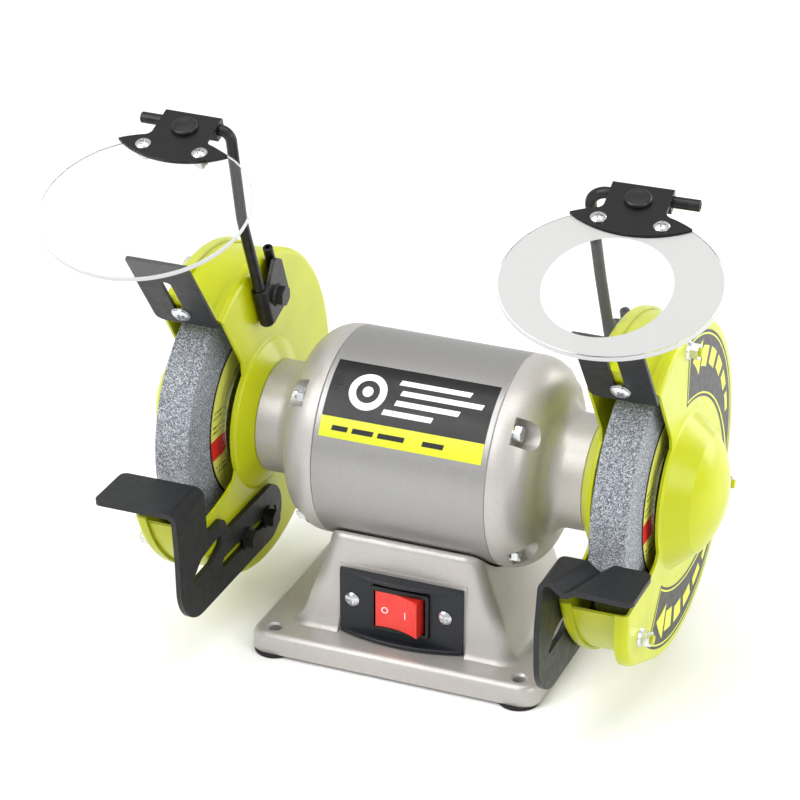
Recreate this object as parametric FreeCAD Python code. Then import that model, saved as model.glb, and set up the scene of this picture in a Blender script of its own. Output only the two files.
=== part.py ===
import FreeCAD, Part
import math
import os

# Twin-wheel bench grinder, 150 mm wheels.  Millimetres.
# +Z up, X along the spindle, the operator stands at -Y.
# The origin is the centre of the four base bolts, on the bench plane.
# Left is -X and right is +X.  Parts that the two sides share are drawn at +X and mirrored.

# ---------------------------------------------------------------- driving dimensions
SPINDLE_Z = 112.5          # spindle height above the bench
FIT = 0.05                 # radial gap of a running or located fit

SHELL_R = 57.9             # motor shell, outside
SHELL_T = 1.8
SEAM_X = 49.3              # seam between the shell and each end bell
NECK_R = 31.4              # end bell neck
NECK_END = 94.0
TIE_BOLT_RADIUS = 52.0     # tie bolts, from the spindle
TIE_BOLT_ANGLE = 43.0      # from the horizontal
POCKET_R = 7.7
POCKET_SEAT = 58.7

SHAFT_R = 7.48             # spindle at the bearings
ARBOR_R = 6.35             # spindle in the wheel bores
BEARING_R = 17.48          # 15 x 35 x 11 bearing
BEARING_IN = 80.0
BEARING_OUT = 91.0
BALL_PITCH_R = 12.5
BALL_R = 2.95
BALL_COUNT = 8

WHEEL_R = 75.0
WHEEL_IN = 112.9           # inner and outer side of the wheel, from the middle
WHEEL_OUT = 132.8
BLOTTER_R = 48.5
BLOTTER_T = 0.45
FLANGE_T = 4.0

GUARD_Y = -1.5             # centre of the round guard
GUARD_Z = 113.3
GUARD_R = 91.8
GUARD_IN = 101.5           # motor side face of the inner guard
GUARD_OUT = 140.0          # outer face of the outer guard
SHEET = 1.6                # guard sheet thickness
LIP = 7.0                  # depth of the rolled lip
EDGE_R = 3.5
MOUTH_R = 43.6             # guard left standing round the spindle inside the mouth
GUARD_STUDS = ((-2.0, 194.5), (76.0, 80.0), (-66.6, 59.0))

ARRESTOR_ANGLE = 35.65     # arrestor plane, forward of vertical through the spindle
ARRESTOR_LOW = 89.2
ARRESTOR_HIGH = 147.7
ARRESTOR_SCREW = 100.2

REST_T = 3.0
REST_TOP = 107.5           # working face of the tool rests
REST_LEG = 98.4            # motor side face of the rest leg
REST_BOLTS = ((-7.5, 51.0), (-34.3, 51.0))

ROD_R = 3.0
ROD_X = 97.2
SHIELD_R = 54.5
SHIELD_REACH = 69.4        # rod axis to lens centre, in the lens plane

FOOT_X = 83.5              # half sizes of the foot plate
FOOT_Y = 68.0
PAD_T = 2.0                # rubber feet
FOOT_TOP = 14.0
BOLT_X = 71.25
BOLT_Y = 58.65
WALL = 4.0
FRONT_Y = -48.3            # flat seat of the switch plate

SWITCH_X = -0.3
SWITCH_Z = 34.5
PIVOT_Y = -49.3
ROCKER_TILT = 11.0

# Eye shields: rod line, end of the rod's level arm, place of the bracket and of the lens beside it.
# The angles are the slope of the lens, its twist about the front-to-back line and its turn in its own plane.
SHIELDS = {
    "left": {"side": -1, "low": (-9.4, 181.8), "knee": (-33.5, 241.0), "top": (-45.5, 295.6),
             "end": 147.0, "bend": 6.0, "centre": -118.5, "offset": 4.2, "slope": 17.7,
             "twist": -2.1, "turn": 1.7},
    "right": {"side": 1, "low": (8.5, 170.0), "knee": (-21.1, 236.2), "top": (-41.0, 291.5),
              "end": 153.0, "bend": 9.0, "centre": 123.8, "offset": 1.2, "slope": 15.8,
             "twist": -3.5, "turn": 5.7},
}


# ---------------------------------------------------------------- small helpers
def vec(x, y, z):
    return FreeCAD.Vector(x, y, z)


ORIGIN = vec(0, 0, 0)
X_AXIS = vec(1, 0, 0)
Z_AXIS = vec(0, 0, 1)


def box(low, high):
    return Part.makeBox(high[0] - low[0], high[1] - low[1], high[2] - low[2], vec(*low))


def bar(r, x0, x1, y=0.0, z=SPINDLE_Z):
    """Cylinder along X between x0 and x1."""
    return Part.makeCylinder(r, x1 - x0, vec(x0, y, z), X_AXIS)


def ring(outer, inner, x0, x1, y=0.0, z=SPINDLE_Z):
    return bar(outer, x0, x1, y, z).cut(bar(inner, x0 - 1, x1 + 1, y, z))


def upright(r, x, y, z0, z1):
    return Part.makeCylinder(r, z1 - z0, vec(x, y, z0), Z_AXIS)


def fuse(shapes):
    first = shapes[0]
    return first.multiFuse(shapes[1:]).removeSplitter()


def cut(shape, tools):
    for tool in tools:
        shape = shape.cut(tool)
    return shape


def mirror(shape):
    return shape.mirror(ORIGIN, X_AXIS)


def to_side(shape, side):
    return shape if side > 0 else mirror(shape)


def outline(corners, place):
    """Closed wire through (a, b) or (a, b, radius) corners, with tangent arcs at the radii."""
    count = len(corners)
    spans = []
    for i, corner in enumerate(corners):
        here = vec(corner[0], corner[1], 0)
        radius = corner[2] if len(corner) > 2 else 0
        if not radius:
            spans.append((here, None, here))
            continue
        before = corners[i - 1]
        after = corners[(i + 1) % count]
        back = (vec(before[0], before[1], 0) - here).normalize()
        ahead = (vec(after[0], after[1], 0) - here).normalize()
        half = back.getAngle(ahead) / 2
        middle = here + (back + ahead).normalize() * (radius / math.sin(half))
        reach = radius / math.tan(half)
        near = middle + (here - middle).normalize() * radius
        spans.append((here + back * reach, near, here + ahead * reach))
    edges = []
    for i, (start, near, end) in enumerate(spans):
        if near is not None:
            edges.append(Part.Arc(place(start), place(near), place(end)).toShape())
        follow = spans[(i + 1) % count][0]
        if end.distanceToPoint(follow) > 1e-6:
            edges.append(Part.LineSegment(place(end), place(follow)).toShape())
    return Part.Wire(edges)


def prism_x(corners, x0, x1):
    """Solid with a (y, z) outline between x0 and x1."""
    wire = outline(corners, lambda p: vec(x0, p.x, p.y))
    return Part.Face(wire).extrude(vec(x1 - x0, 0, 0))


def prism_y(corners, y0, y1):
    """Solid with an (x, z) outline between y0 and y1."""
    wire = outline(corners, lambda p: vec(p.x, y0, p.y))
    return Part.Face(wire).extrude(vec(0, y1 - y0, 0))


def prism_z(corners, z0, z1):
    """Solid with an (x, y) outline between z0 and z1."""
    wire = outline(corners, lambda p: vec(p.x, p.y, z0))
    return Part.Face(wire).extrude(vec(0, 0, z1 - z0))


def rectangle(half_x, half_y, radius, x=0.0, y=0.0):
    return ((x - half_x, y - half_y, radius), (x + half_x, y - half_y, radius),
            (x + half_x, y + half_y, radius), (x - half_x, y + half_y, radius))


def revolved(path, y=0.0, z=SPINDLE_Z):
    """Full turn about an X axis; path holds (x, r) points and ("arc", middle, end) steps."""
    edges = []
    here = path[0]
    for step in list(path[1:]) + [path[0]]:
        if step[0] == "arc":
            points = [vec(p[0], y, z + p[1]) for p in (here, step[1], step[2])]
            edges.append(Part.Arc(*points).toShape())
            here = step[2]
            continue
        if abs(step[0] - here[0]) + abs(step[1] - here[1]) > 1e-6:
            start = vec(here[0], y, z + here[1])
            edges.append(Part.LineSegment(start, vec(step[0], y, z + step[1])).toShape())
        here = step
    face = Part.Face(Part.Wire(edges))
    return Part.Solid(face.revolve(vec(0, y, z), X_AXIS, 360))


def placed(shape, origin, x_dir, y_dir, z_dir):
    """Shape drawn at the origin, moved so that its own axes lie along the given directions."""
    rotation = FreeCAD.Rotation(x_dir, y_dir, z_dir, "ZXY")
    moved = shape.copy()
    moved.transformShape(FreeCAD.Placement(origin, rotation).toMatrix(), True)
    return moved


def aimed(shape, origin, direction):
    """Shape drawn along +Z, moved to the origin and turned to the direction."""
    moved = shape.copy()
    rotation = FreeCAD.Rotation(Z_AXIS, direction)
    moved.transformShape(FreeCAD.Placement(origin, rotation).toMatrix(), True)
    return moved


def hexagon(across_flats, height):
    corner = across_flats / math.sqrt(3)
    points = [(corner * math.cos(math.radians(60 * i)), corner * math.sin(math.radians(60 * i)))
              for i in range(6)]
    chamfer = Part.makeCone(corner * 0.93 + height * 2, corner * 0.93, height)
    return prism_z(points, 0, height).common(chamfer)


def hex_bolt(shank_r, shank, across_flats, head, washer=0.0):
    """Bolt along +Z: shank below z = 0, optional flange from z = 0, then the hexagon."""
    parts = [Part.makeCylinder(shank_r, shank, vec(0, 0, -shank)),
             hexagon(across_flats, head).translated(vec(0, 0, washer))]
    if washer:
        parts.append(Part.makeCone(across_flats * 0.66, across_flats * 0.56, washer))
    return fuse(parts)


def hex_nut(hole_r, across_flats, height, flange=0.0):
    body = hexagon(across_flats, height).translated(vec(0, 0, flange))
    if flange:
        body = fuse([body, Part.makeCone(across_flats * 0.68, across_flats * 0.56, flange)])
    return body.cut(Part.makeCylinder(hole_r, height + flange + 2, vec(0, 0, -1)))


def cross_screw(head_r, head_h, shank_r, shank):
    """Pan head screw with a cross recess along +Z; the head sits on z = 0."""
    sphere_r = (head_r ** 2 + head_h ** 2) / (2 * head_h) * 1.25
    head = Part.makeCylinder(head_r, head_h)
    dome = Part.makeSphere(sphere_r, vec(0, 0, head_h - sphere_r))
    slot_w = head_r * 0.24
    slot_l = head_r * 1.15
    depth = head_h * 0.6
    head = cut(head.common(dome), [
        box((-slot_l / 2, -slot_w / 2, head_h - depth), (slot_l / 2, slot_w / 2, head_h + 1)),
        box((-slot_w / 2, -slot_l / 2, head_h - depth), (slot_w / 2, slot_l / 2, head_h + 1))])
    return fuse([head, Part.makeCylinder(shank_r, shank, vec(0, 0, -shank))])


def group(shapes):
    """Separate solids in one node."""
    solids = []
    for shape in shapes:
        solids.extend(shape.Solids)
    return Part.makeCompound(solids)


# ---------------------------------------------------------------- base
def section(half_x, half_y, radius, z):
    return outline(rectangle(half_x, half_y, radius), lambda p: vec(p.x, p.y, z))


def pedestal(inset):
    """Waisted block that carries the motor; inset shrinks it for the cavity."""
    rows = ((14.0, 66.0, 52.0), (17.0, 62.5, 49.6), (22.0, 60.0, 48.6), (40.0, 53.5, 48.2),
            (58.0, 47.0, 47.8), (74.0, 41.5, 47.0))
    wires = [section(x - inset, y - inset, 9.0, z) for z, x, y in rows]
    return Part.makeLoft(wires, True, False)


def foot_plate():
    plate = prism_z(rectangle(FOOT_X, FOOT_Y, 10.0), PAD_T, FOOT_TOP)
    top = [e for e in plate.Edges if e.BoundBox.ZMin > FOOT_TOP - 0.01]
    return plate.makeFillet(4.0, top)


def base_bolts():
    return [(sx * BOLT_X, sy * BOLT_Y) for sx in (-1, 1) for sy in (-1, 1)]


def cover_bosses():
    return [(sx * 50.0, sy * 37.0) for sx in (-1, 1) for sy in (-1, 1)]


SADDLE_R = SHELL_R + 1.2
COVER_TOP = PAD_T + 1.5
SADDLE_BOLT_X = 30.0
GLAND_AT = (30.0, 30.0)
GLAND_SEAT = 49.1


def base_casting():
    block = pedestal(0.0)
    top = [e for e in block.Edges if e.BoundBox.ZMin > 73.9]
    block = block.makeFillet(5.0, top)
    outer = fuse([foot_plate(), block])
    cavity = pedestal(WALL).common(box((-90, -90, 0), (90, 90, 66)))
    cavity = fuse([cavity, prism_z(rectangle(62.0, 48.0, 8.0), 0, FOOT_TOP)])
    bosses = [upright(5.0, x, y, COVER_TOP, 40) for x, y in cover_bosses()]
    cavity = cut(cavity, [bar(SADDLE_R + 5.0, -90, 90)] + bosses)
    seat = prism_z(rectangle(64.0, 50.0, 8.0), 0, COVER_TOP)
    body = cut(outer, [cavity, seat, bar(SADDLE_R, -90, 90)])
    pads = []
    for x0, x1 in ((-34, -22), (22, 34)):
        for y0, y1 in ((-34, -18), (18, 34)):
            slab = box((x0, y0, 50), (x1, y1, 80))
            pads.append(ring(SADDLE_R + 2, SHELL_R + FIT, x0, x1).common(slab))
    front_pad = box((-37.5, FRONT_Y, 15), (37.0, FRONT_Y + 6, 56))
    body = fuse([body, front_pad] + pads)
    body = body.cut(box((-37.5, FRONT_Y - 12, 14.0), (37.0, FRONT_Y, 56)))
    holes = [upright(3.5, x, y, 0, 20) for x, y in base_bolts()]
    holes += [Part.makeCone(3.5, 4.7, 1.2, vec(x, y, FOOT_TOP - 1.2)) for x, y in base_bolts()]
    holes += [upright(1.7, x, y, 0, 20) for x, y in cover_bosses()]
    holes.append(box((SWITCH_X - 16.4, FRONT_Y - 1, SWITCH_Z - 13.4),
                     (SWITCH_X + 16.4, FRONT_Y + 10, SWITCH_Z + 13.4)))
    for x in SCREW_X:
        holes.append(Part.makeCylinder(1.95, 9, vec(x, FRONT_Y - 1, SCREW_Z), vec(0, 1, 0)))
    for x in (-SADDLE_BOLT_X, SADDLE_BOLT_X):
        holes.append(upright(3.05, x, 0, 40, 60))
    holes.append(upright(3.5, 39, 0, 40, 60))
    holes.append(Part.makeCylinder(8.1, 20, vec(GLAND_AT[0], 38, GLAND_AT[1]), vec(0, 1, 0)))
    return cut(body, holes)


def base_cover_plate():
    plate = prism_z(rectangle(63.8, 49.8, 7.8), PAD_T, COVER_TOP)
    vents = [prism_z(rectangle(1.5, 12.0, 1.4, x, 0.0), 0, 6) for x in range(-24, 25, 8)]
    return cut(plate, vents + [upright(2.2, x, y, 0, 6) for x, y in cover_bosses()])


def base_plate_screws():
    screw = cross_screw(3.6, 1.7, 1.65, 12.0)
    return group([aimed(screw, vec(x, y, PAD_T), vec(0, 0, -1)) for x, y in cover_bosses()])


def rubber_feet():
    pads = []
    for x, y in base_bolts():
        pad = upright(11.5, x, y, 0, PAD_T)
        low = [e for e in pad.Edges if e.BoundBox.ZMax < 0.01]
        pads.append(pad.makeFillet(0.7, low).cut(upright(3.5, x, y, -1, 5)))
    return group(pads)


def cable_gland():
    """Tapered strain relief in the back wall, with its bore."""
    steps = [Part.makeCylinder(11.0, 3.0, vec(0, 0, 0)), Part.makeCylinder(8.0, 7.0, vec(0, 0, -7)),
             Part.makeCylinder(10.0, 2.5, vec(0, 0, -9.5)), Part.makeCone(7.0, 4.8, 24.0, vec(0, 0, 3))]
    gland = fuse(steps)
    for i in range(4):
        z = 7.0 + 4.6 * i
        groove = Part.makeCylinder(9, 1.4, vec(0, 0, z)).cut(
            Part.makeCylinder(5.4 - 0.4 * i, 1.4, vec(0, 0, z)))
        gland = gland.cut(groove)
    gland = gland.cut(Part.makeCylinder(3.5, 60, vec(0, 0, -20)))
    return aimed(gland, vec(GLAND_AT[0], GLAND_SEAT, GLAND_AT[1]), vec(0, 1, 0))


def saddle_screws():
    bolt = hex_bolt(2.95, 14.0, 10.0, 4.0)
    nut = hex_nut(3.0, 10.0, 4.0)
    solids = []
    for x in (-SADDLE_BOLT_X, SADDLE_BOLT_X):
        solids.append(aimed(bolt, vec(x, 0, SPINDLE_Z - SADDLE_R - 5.2), vec(0, 0, -1)))
        solids.append(nut.translated(vec(x, 0, SPINDLE_Z - SHELL_R + SHELL_T + 0.4)))
    return group(solids)


# ---------------------------------------------------------------- switch
PLATE_T = 2.0
PLATE_FRONT = FRONT_Y - PLATE_T
PLATE_LEFT = -36.0
PLATE_RIGHT = 35.5
SCREW_X = (-28.6, 25.3)
SCREW_Z = 36.0
BEZEL_T = 2.0
ROCKER_HALF = 10.85


def brow(z0, z1, bulge):
    """Bowed ridge along the top or bottom of the switch plate."""
    middle = (PLATE_LEFT + PLATE_RIGHT) / 2
    ends = (vec(PLATE_LEFT, PLATE_FRONT + 0.4, z0), vec(PLATE_RIGHT, PLATE_FRONT + 0.4, z0))
    arc = Part.Arc(ends[0], vec(middle, PLATE_FRONT - bulge, z0), ends[1]).toShape()
    back = (vec(PLATE_LEFT, FRONT_Y, z0), vec(PLATE_RIGHT, FRONT_Y, z0))
    sides = [Part.LineSegment(ends[1], back[1]).toShape(), Part.LineSegment(back[1], back[0]).toShape(),
             Part.LineSegment(back[0], ends[0]).toShape()]
    ridge = Part.Face(Part.Wire([arc] + sides)).extrude(vec(0, 0, z1 - z0))
    front = [e for e in ridge.Edges if e.BoundBox.YMin < PLATE_FRONT - bulge + 0.5]
    return ridge.makeFillet(0.9, front)


def switch_plate():
    middle = (PLATE_LEFT + PLATE_RIGHT) / 2
    half = (PLATE_RIGHT - PLATE_LEFT) / 2
    plate = prism_y(rectangle(half, 19.75, 3.0, middle, 34.25), PLATE_FRONT, FRONT_Y)
    plate = fuse([plate, brow(51.5, 54.0, 6.3), brow(14.5, 17.0, 6.3)])
    window = box((SWITCH_X - 16.2, -60, SWITCH_Z - 13.2), (SWITCH_X + 16.2, -40, SWITCH_Z + 13.2))
    holes = [Part.makeCylinder(2.1, 6, vec(x, PLATE_FRONT - 1, SCREW_Z), vec(0, 1, 0)) for x in SCREW_X]
    return cut(plate, [window] + holes)


def switch_housing():
    bezel_front = PLATE_FRONT - BEZEL_T
    bezel = prism_y(rectangle(16.9, 13.6, 1.5, SWITCH_X, SWITCH_Z), bezel_front, PLATE_FRONT)
    front = [e for e in bezel.Edges if e.BoundBox.YMax < bezel_front + 0.01]
    bezel = bezel.makeFillet(0.8, front)
    body = box((SWITCH_X - 15.9, PLATE_FRONT, SWITCH_Z - 12.9), (SWITCH_X + 15.9, -24, SWITCH_Z + 12.9))
    well = box((SWITCH_X - 14.95, bezel_front - 1, SWITCH_Z - 11.1), (SWITCH_X + 14.95, -38, SWITCH_Z + 11.1))
    pin = upright(1.55, SWITCH_X, PIVOT_Y, SWITCH_Z - 12.5, SWITCH_Z + 12.5)
    return cut(fuse([bezel, body]), [well, pin])


def switch_rocker():
    """Two-facet rocker, drawn level and turned so that its left facet is pressed in."""
    def at(u, w):
        return vec(u, -w, -ROCKER_HALF)

    rim = [Part.Arc(at(-13.35, 6.2), at(-6.7, 4.4), at(0, 3.6)).toShape(),
           Part.Arc(at(0, 3.6), at(6.7, 4.4), at(13.35, 6.2)).toShape()]
    corners = [at(13.35, 6.2), at(12.7, -3.0), at(5.0, -7.5), at(-5.0, -7.5), at(-12.7, -3.0), at(-13.35, 6.2)]
    rim += [Part.LineSegment(a, b).toShape() for a, b in zip(corners, corners[1:])]
    body = Part.Face(Part.Wire(rim)).extrude(vec(0, 0, 2 * ROCKER_HALF))
    front = [e for e in body.Edges if e.BoundBox.YMax < -3.0]
    body = body.makeFillet(0.7, front)
    pins = Part.makeCylinder(1.5, 24.4, vec(0, 0, -12.2), Z_AXIS)
    body = fuse([body, pins])
    body.rotate(ORIGIN, Z_AXIS, -ROCKER_TILT)
    body.translate(vec(SWITCH_X, PIVOT_Y, SWITCH_Z))
    return body


def switch_screws():
    screw = cross_screw(4.2, 2.2, 1.9, 9.0)
    return group([aimed(screw, vec(x, PLATE_FRONT, SCREW_Z), vec(0, -1, 0)) for x in SCREW_X])


def switch_terminals():
    tabs = []
    for x in (-9.0, 9.0):
        for z in (-6.0, 6.0):
            centre = (SWITCH_X + x, SWITCH_Z + z)
            tab = box((centre[0] - 0.4, -24, centre[1] - 3.15), (centre[0] + 0.4, -14, centre[1] + 3.15))
            tabs.append(tab.cut(Part.makeCylinder(0.9, 4, vec(centre[0] - 2, -17, centre[1]), X_AXIS)))
    return group(tabs)


def run_capacitor():
    can = bar(14.0, -28, 28, 22, COVER_TOP + 14.1)
    ends = [e for e in can.Edges if e.BoundBox.XLength < 0.01]
    can = can.makeFillet(1.5, ends)
    tabs = [box((28, 22 + y - 3.15, COVER_TOP + 12), (35, 22 + y + 3.15, COVER_TOP + 12.8)) for y in (-6, 6)]
    return fuse([can] + tabs)


def terminal_block():
    body = box((-21, -8, COVER_TOP + 0.1), (21, 6, COVER_TOP + 11))
    wells = []
    for i in range(4):
        x = -15.75 + 10.5 * i
        wells.append(upright(2.4, x, -3.5, COVER_TOP + 4, 30))
        wells.append(upright(2.4, x, 2.0, COVER_TOP + 4, 30))
        wells.append(Part.makeCylinder(1.8, 20, vec(x, -10, COVER_TOP + 5), vec(0, 1, 0)))
    slots = [box((-10.5 + 10.5 * i - 0.6, -9, COVER_TOP + 8), (-10.5 + 10.5 * i + 0.6, 7, 30)) for i in range(3)]
    return cut(body, wells + slots)


# ---------------------------------------------------------------- motor
def tie_bolt_centres():
    reach = TIE_BOLT_RADIUS
    angle = math.radians(TIE_BOLT_ANGLE)
    return [(sy * reach * math.cos(angle), SPINDLE_Z + sz * reach * math.sin(angle))
            for sy in (-1, 1) for sz in (-1, 1)]


def motor_shell():
    shell = ring(SHELL_R, SHELL_R - SHELL_T, -SEAM_X, SEAM_X)
    edges = [e for e in shell.Edges if e.BoundBox.XLength < 0.01 and e.BoundBox.ZLength > 2 * SHELL_R - 1]
    shell = shell.makeFillet(0.5, edges)
    holes = [upright(3.05, x, 0, 40, 60) for x in (-SADDLE_BOLT_X, SADDLE_BOLT_X)]
    return cut(shell, holes + [upright(3.5, 39, 0, 40, 60)])


def end_bell():
    """Cast end bell, drawn at +X: rounded shoulder, hollow corner, neck with the bearing seat."""
    spigot = SHELL_R - SHELL_T - FIT
    outside = revolved([
        (43.5, 0), (43.5, spigot), (SEAM_X, spigot), (SEAM_X, SHELL_R - 0.5),
        ("arc", (SEAM_X + 0.15, SHELL_R - 0.15), (SEAM_X + 0.5, SHELL_R)), (52.0, SHELL_R),
        ("arc", (66.1, 52.0), (71.8, 40.3)), ("arc", (75.05, 33.95), (81.7, NECK_R)),
        (NECK_END - 0.6, NECK_R), (NECK_END, NECK_R - 0.6), (NECK_END, 0)])
    inside = revolved([
        (43.0, 0), (43.0, 53.9), (52.0, 53.9), ("arc", (63.3, 49.2), (67.8, 38.0)),
        (74.0, 26.0), (78.5, 23.0), (78.5, 0)])
    bosses = [bar(9.9, 46, 70, y, z) for y, z in tie_bolt_centres()]
    body = outside.cut(cut(inside, bosses))
    seat = bar(BEARING_R + 0.02, 70, BEARING_OUT + 0.6)
    tools = [seat, bar(12.0, 70, 100)]
    for y, z in tie_bolt_centres():
        out = vec(0, y, z - SPINDLE_Z).normalize()
        tools.append(bar(POCKET_R, POCKET_SEAT, 80, y, z))
        far = (y + out.y * 20, z + out.z * 20)
        side = vec(0, -out.z, out.y) * POCKET_R
        slot = [(y + side.y, z + side.z), (far[0] + side.y, far[1] + side.z),
                (far[0] - side.y, far[1] - side.z), (y - side.y, z - side.z)]
        tools.append(prism_x(slot, POCKET_SEAT, 80))
        tools.append(bar(2.6, 40, 80, y, z))
    tools += [bar(2.05, 83, 100, y, z) for y, z in mount_screw_centres()]
    return cut(body, tools)


def mount_screw_centres():
    return [(25.5 * math.cos(math.radians(a)), SPINDLE_Z + 25.5 * math.sin(math.radians(a)))
            for a in (90, 210, 330)]


def end_bell_screws():
    """Four tie bolts through the whole motor, with their nuts."""
    solids = []
    for y, z in tie_bolt_centres():
        bolt = hex_bolt(2.5, 2 * POCKET_SEAT + 7.0, 8.0, 3.6, 0.8)
        solids.append(aimed(bolt, vec(POCKET_SEAT, y, z), X_AXIS))
        nut = hex_nut(2.52, 8.0, 4.0, 0.8)
        solids.append(aimed(nut, vec(-POCKET_SEAT, y, z), vec(-1, 0, 0)))
    return group(solids)


SLOTS = 24
STATOR_BORE = 31.4
ROTOR_R = 31.0
STACK = 24.0


def slot_centres(radius, count):
    step = 2 * math.pi / count
    return [(radius * math.cos(i * step), SPINDLE_Z + radius * math.sin(i * step)) for i in range(count)]


def stator_core():
    core = ring(SHELL_R - SHELL_T - FIT, STATOR_BORE, -STACK, STACK)
    tools = []
    for i, (y, z) in enumerate(slot_centres(39.5, SLOTS)):
        tools.append(bar(3.1, -STACK - 1, STACK + 1, y, z))
        throat = box((-STACK - 1, 30.0, SPINDLE_Z - 0.9), (STACK + 1, 38.0, SPINDLE_Z + 0.9))
        throat.rotate(vec(0, 0, SPINDLE_Z), X_AXIS, i * 360.0 / SLOTS)
        tools.append(throat)
    tools += [bar(2.8, -STACK - 1, STACK + 1, y, z) for y, z in tie_bolt_centres()]
    return core.cut(Part.makeCompound(tools))


def stator_windings():
    ends = []
    for s in (-1, 1):
        low, high = sorted((s * (STACK + 1.5), s * (STACK + 14.0)))
        coil = ring(46.5, 35.5, low, high)
        ends.append(coil.makeFillet(3.0, coil.Edges))
    bars = [bar(3.0, -STACK - 4, STACK + 4, y, z) for y, z in slot_centres(39.5, SLOTS)]
    return fuse(ends + bars)


def rotor_core():
    core = ring(ROTOR_R, 8.52, -STACK, STACK)
    tools = [bar(1.85, -STACK - 1, STACK + 1, y, z) for y, z in slot_centres(27.5, 20)]
    return core.cut(Part.makeCompound(tools))


def rotor_cage():
    rings = [ring(30.0, 20.0, STACK + 0.05, STACK + 6), ring(30.0, 20.0, -STACK - 6, -STACK - 0.05)]
    bars = [bar(1.8, -STACK - 2, STACK + 2, y, z) for y, z in slot_centres(27.5, 20)]
    return fuse(rings + bars)


SPINDLE_END = 150.0
FLANGE_SEAT = 109.0


def spindle():
    half = [(0, 8.5), (BEARING_IN - 0.05, 8.5), (BEARING_IN - 0.05, SHAFT_R), (FLANGE_SEAT - 0.05, SHAFT_R),
            (FLANGE_SEAT - 0.05, ARBOR_R - 0.02), (SPINDLE_END - 1.0, ARBOR_R - 0.02),
            (SPINDLE_END, ARBOR_R - 1.0), (SPINDLE_END, 0)]
    other = [(-x, r) for x, r in reversed(half)]
    return revolved(other[:-1] + half[1:])


def bearing_places():
    return [(BEARING_IN, BEARING_OUT), (-BEARING_OUT, -BEARING_IN)]


def bearing_outer_rings():
    rings = []
    for low, high in bearing_places():
        race = Part.makeTorus(BALL_PITCH_R, BALL_R + FIT, vec((low + high) / 2, 0, SPINDLE_Z), X_AXIS)
        rings.append(ring(BEARING_R, 14.6, low, high).cut(race))
    return group(rings)


def bearing_inner_rings():
    rings = []
    for low, high in bearing_places():
        race = Part.makeTorus(BALL_PITCH_R, BALL_R + FIT, vec((low + high) / 2, 0, SPINDLE_Z), X_AXIS)
        rings.append(ring(10.4, SHAFT_R + 0.01, low, high).cut(race))
    return group(rings)


def bearing_balls():
    balls = []
    for low, high in bearing_places():
        for y, z in slot_centres(BALL_PITCH_R, BALL_COUNT):
            balls.append(Part.makeSphere(BALL_R, vec((low + high) / 2, y, z)))
    return group(balls)


def wave_washer():
    """Thin washer with three waves between the right bearing and its shoulder."""
    def rim(radius, offset):
        points = []
        for i in range(36):
            turn = math.radians(10 * i)
            lift = offset + 0.12 * math.sin(3 * turn)
            points.append(vec(lift, radius * math.cos(turn), SPINDLE_Z + radius * math.sin(turn)))
        curve = Part.BSplineCurve()
        curve.interpolate(points, PeriodicFlag=True)
        return curve.toShape()

    middle = BEARING_OUT + 0.3
    rims = [rim(17.0, middle - 0.15), rim(17.0, middle + 0.15), rim(14.8, middle + 0.15), rim(14.8, middle - 0.15)]
    faces = [Part.makeRuledSurface(a, b) for a, b in zip(rims, rims[1:] + rims[:1])]
    shell = Part.Shell([f for face in faces for f in face.Faces])
    solid = Part.Solid(shell)
    solid.fix(1e-4, 1e-4, 1e-3)
    return solid


def name_label():
    """Thin curved label on the upper front of the shell."""
    skin = ring(SHELL_R + 0.25, SHELL_R, -46, 46)
    reach = 90.0
    low, high = math.radians(22.0), math.radians(66.0)
    wedge = [(0, SPINDLE_Z), (-reach * math.cos(low), SPINDLE_Z + reach * math.sin(low)),
             (-reach * math.cos(high), SPINDLE_Z + reach * math.sin(high))]
    return skin.common(prism_x(wedge, -50, 50))


# ---------------------------------------------------------------- wheels
def wheel():
    body = ring(WHEEL_R, ARBOR_R + 0.02, WHEEL_IN, WHEEL_OUT)
    rims = [e for e in body.Edges if e.BoundBox.XLength < 0.01 and e.BoundBox.ZLength > 2 * WHEEL_R - 1]
    return body.makeChamfer(0.6, rims)


def wheel_blotters():
    right = [ring(BLOTTER_R, ARBOR_R + 0.1, WHEEL_IN - BLOTTER_T, WHEEL_IN),
             ring(BLOTTER_R, ARBOR_R + 0.1, WHEEL_OUT, WHEEL_OUT + BLOTTER_T)]
    return group(right + [mirror(s) for s in right])


def wheel_flanges():
    inner = revolved([(FLANGE_SEAT, ARBOR_R + 0.02), (FLANGE_SEAT, 30.0), (FLANGE_SEAT + 1.0, 34.0),
                      (WHEEL_IN - BLOTTER_T, 34.0), (WHEEL_IN - BLOTTER_T, ARBOR_R + 0.02)])
    seat = WHEEL_OUT + BLOTTER_T
    outer = revolved([(seat, ARBOR_R + 0.02), (seat, 34.5), (seat + 1.6, 34.5), (seat + 2.4, 32.0),
                      (seat + 2.4, 22.0), (seat + FLANGE_T, 18.0), (seat + FLANGE_T, ARBOR_R + 0.02)])
    return group([inner, outer, mirror(inner), mirror(outer)])


def spindle_nuts():
    nut = aimed(hex_nut(ARBOR_R, 19.0, 8.0), vec(WHEEL_OUT + BLOTTER_T + FLANGE_T, 0, SPINDLE_Z), X_AXIS)
    return group([nut, mirror(nut)])


# ---------------------------------------------------------------- guards
TILT = math.radians(ARRESTOR_ANGLE)
RADIAL = (-math.sin(TILT), math.cos(TILT))       # (y, z) direction up the arrestor
BEHIND = (math.cos(TILT), math.sin(TILT))        # (y, z) direction away from the operator
MOUTH_LOW_ANGLE = 22.3


def radial_point(radius, behind):
    return (radius * RADIAL[0] + behind * BEHIND[0],
            SPINDLE_Z + radius * RADIAL[1] + behind * BEHIND[1])


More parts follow.
